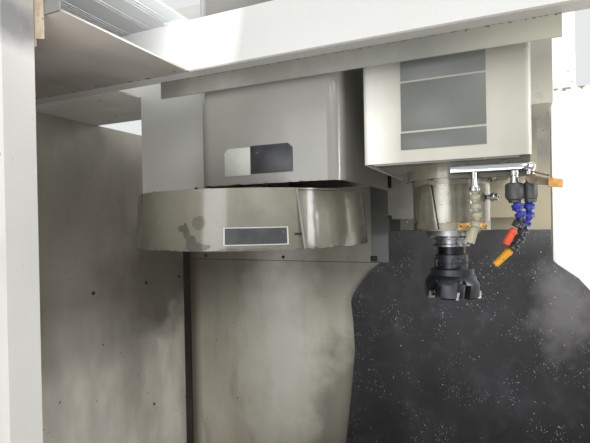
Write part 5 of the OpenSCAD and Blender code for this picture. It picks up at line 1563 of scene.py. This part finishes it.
@dataclass
class Services(Part):
    """Cabinet grilles, conduit, motor plugs and the frame's bolts."""

    side_x: tuple[float, float] = (450.0, -463.0)  # the cabinet's right and left side
    slats: int = 13

    def grille(self, side: int, z: float) -> None:
        """Set one slatted air grille on the cabinet's side.

        Args:
            side: -1 for the left side, 1 for the right one.
            z: Height of its middle.
        """
        x = self.side_x[side < 0]
        near, far = sorted((x - side * 0.3, x + side * 5.0))
        parts = [
            Bench.block("rim", above_floor(near, y0, z + low), above_floor(far, y1, z + high), 1.5)
            for y0, y1, low, high in (
                (700, 900, 92, 100), (700, 900, -100, -92), (700, 708, -92, 92), (892, 900, -92, 92)
            )
        ]
        slat = Bench.block(
            "slat", above_floor(near, 708, z - 86), above_floor((near + far) / 2 + side, 892, z - 78)
        )
        parts.append(
            Bench.repeat("slats", slat, [Matrix.Translation((0, 0, 0.014 * n)) for n in range(self.slats)])
        )
        name = f"grille_{'left' if side < 0 else 'right'}_{z:.0f}"
        self.finish(Bench.join(name, parts), "moulded_grey_plastic", "frame", "pendant_case")

    def build(self) -> None:
        """Build the fittings."""
        for side, z in ((-1, 700), (-1, 1660), (1, 700), (1, 1480)):
            self.grille(side, z)
        route = [
            (30, 289, 2240), (30, 420, 2270), (30, 640, 2260), (90, 780, 2160), (90, 790, 1960),
            (90, 790, 1879),
        ]
        conduit = Bench.pipe("z_motor_conduit", [above_floor(*place) for place in route], 13, 5, True)
        bpy.ops.object.shade_smooth_by_angle(angle=math.radians(40))
        self.finish(conduit, "moulded_black_plastic", "frame", "black_plastic")
        plugs = [
            Bench.block("plug", above_floor(*low), above_floor(*high), 3.0)
            for low, high in (
                ((12, 286, 2222), (48, 312, 2258)), ((-18, -715, 574), (18, -680, 600)),
                ((68, 768, 1879), (112, 812, 1894)),
            )
        ]
        self.finish(Bench.join("motor_plugs", plugs), "moulded_black_plastic", "frame", "black_plastic")
        nuts = [
            Bench.rod("nut", above_floor(x, y, 50), above_floor(x, y, 66), 22, 6, 1.5)
            for x in (-310, 310) for y in (-605, -30, 630)
        ]
        self.finish(Bench.join("levelling_nuts", nuts), "dark_bracket_steel", "frame", "dark_steel")
        rows = [above_floor(x, -792, 1870) for x in range(-900, 601, 150)]
        rows += [above_floor(x, -743, z) for x in range(-900, 901, 300) for z in (150, 815)]
        screws = Bench.screws("front_screws", rows, FRONTWARD, 4.5)
        self.finish(screws, "dark_bracket_steel", "frame", "dark_steel")


def main() -> None:
    """Build the whole picture in order."""
    logging.basicConfig(level=logging.INFO, format="%(message)s")
    studio = Studio()
    studio.camera()
    paints = {finish.name: finish.build() for finish in FINISHES}
    dress_nodes(paints)
    for part in (
        CoolantLines, ToolSet, SpindleNose, ToolChanger, HeadFittings, Enclosure, DoorFittings, PendantFace,
        Services,
    ):
        part(paints).build()
    studio.light()
    studio.floor()


if __name__ == "__main__":
    main()
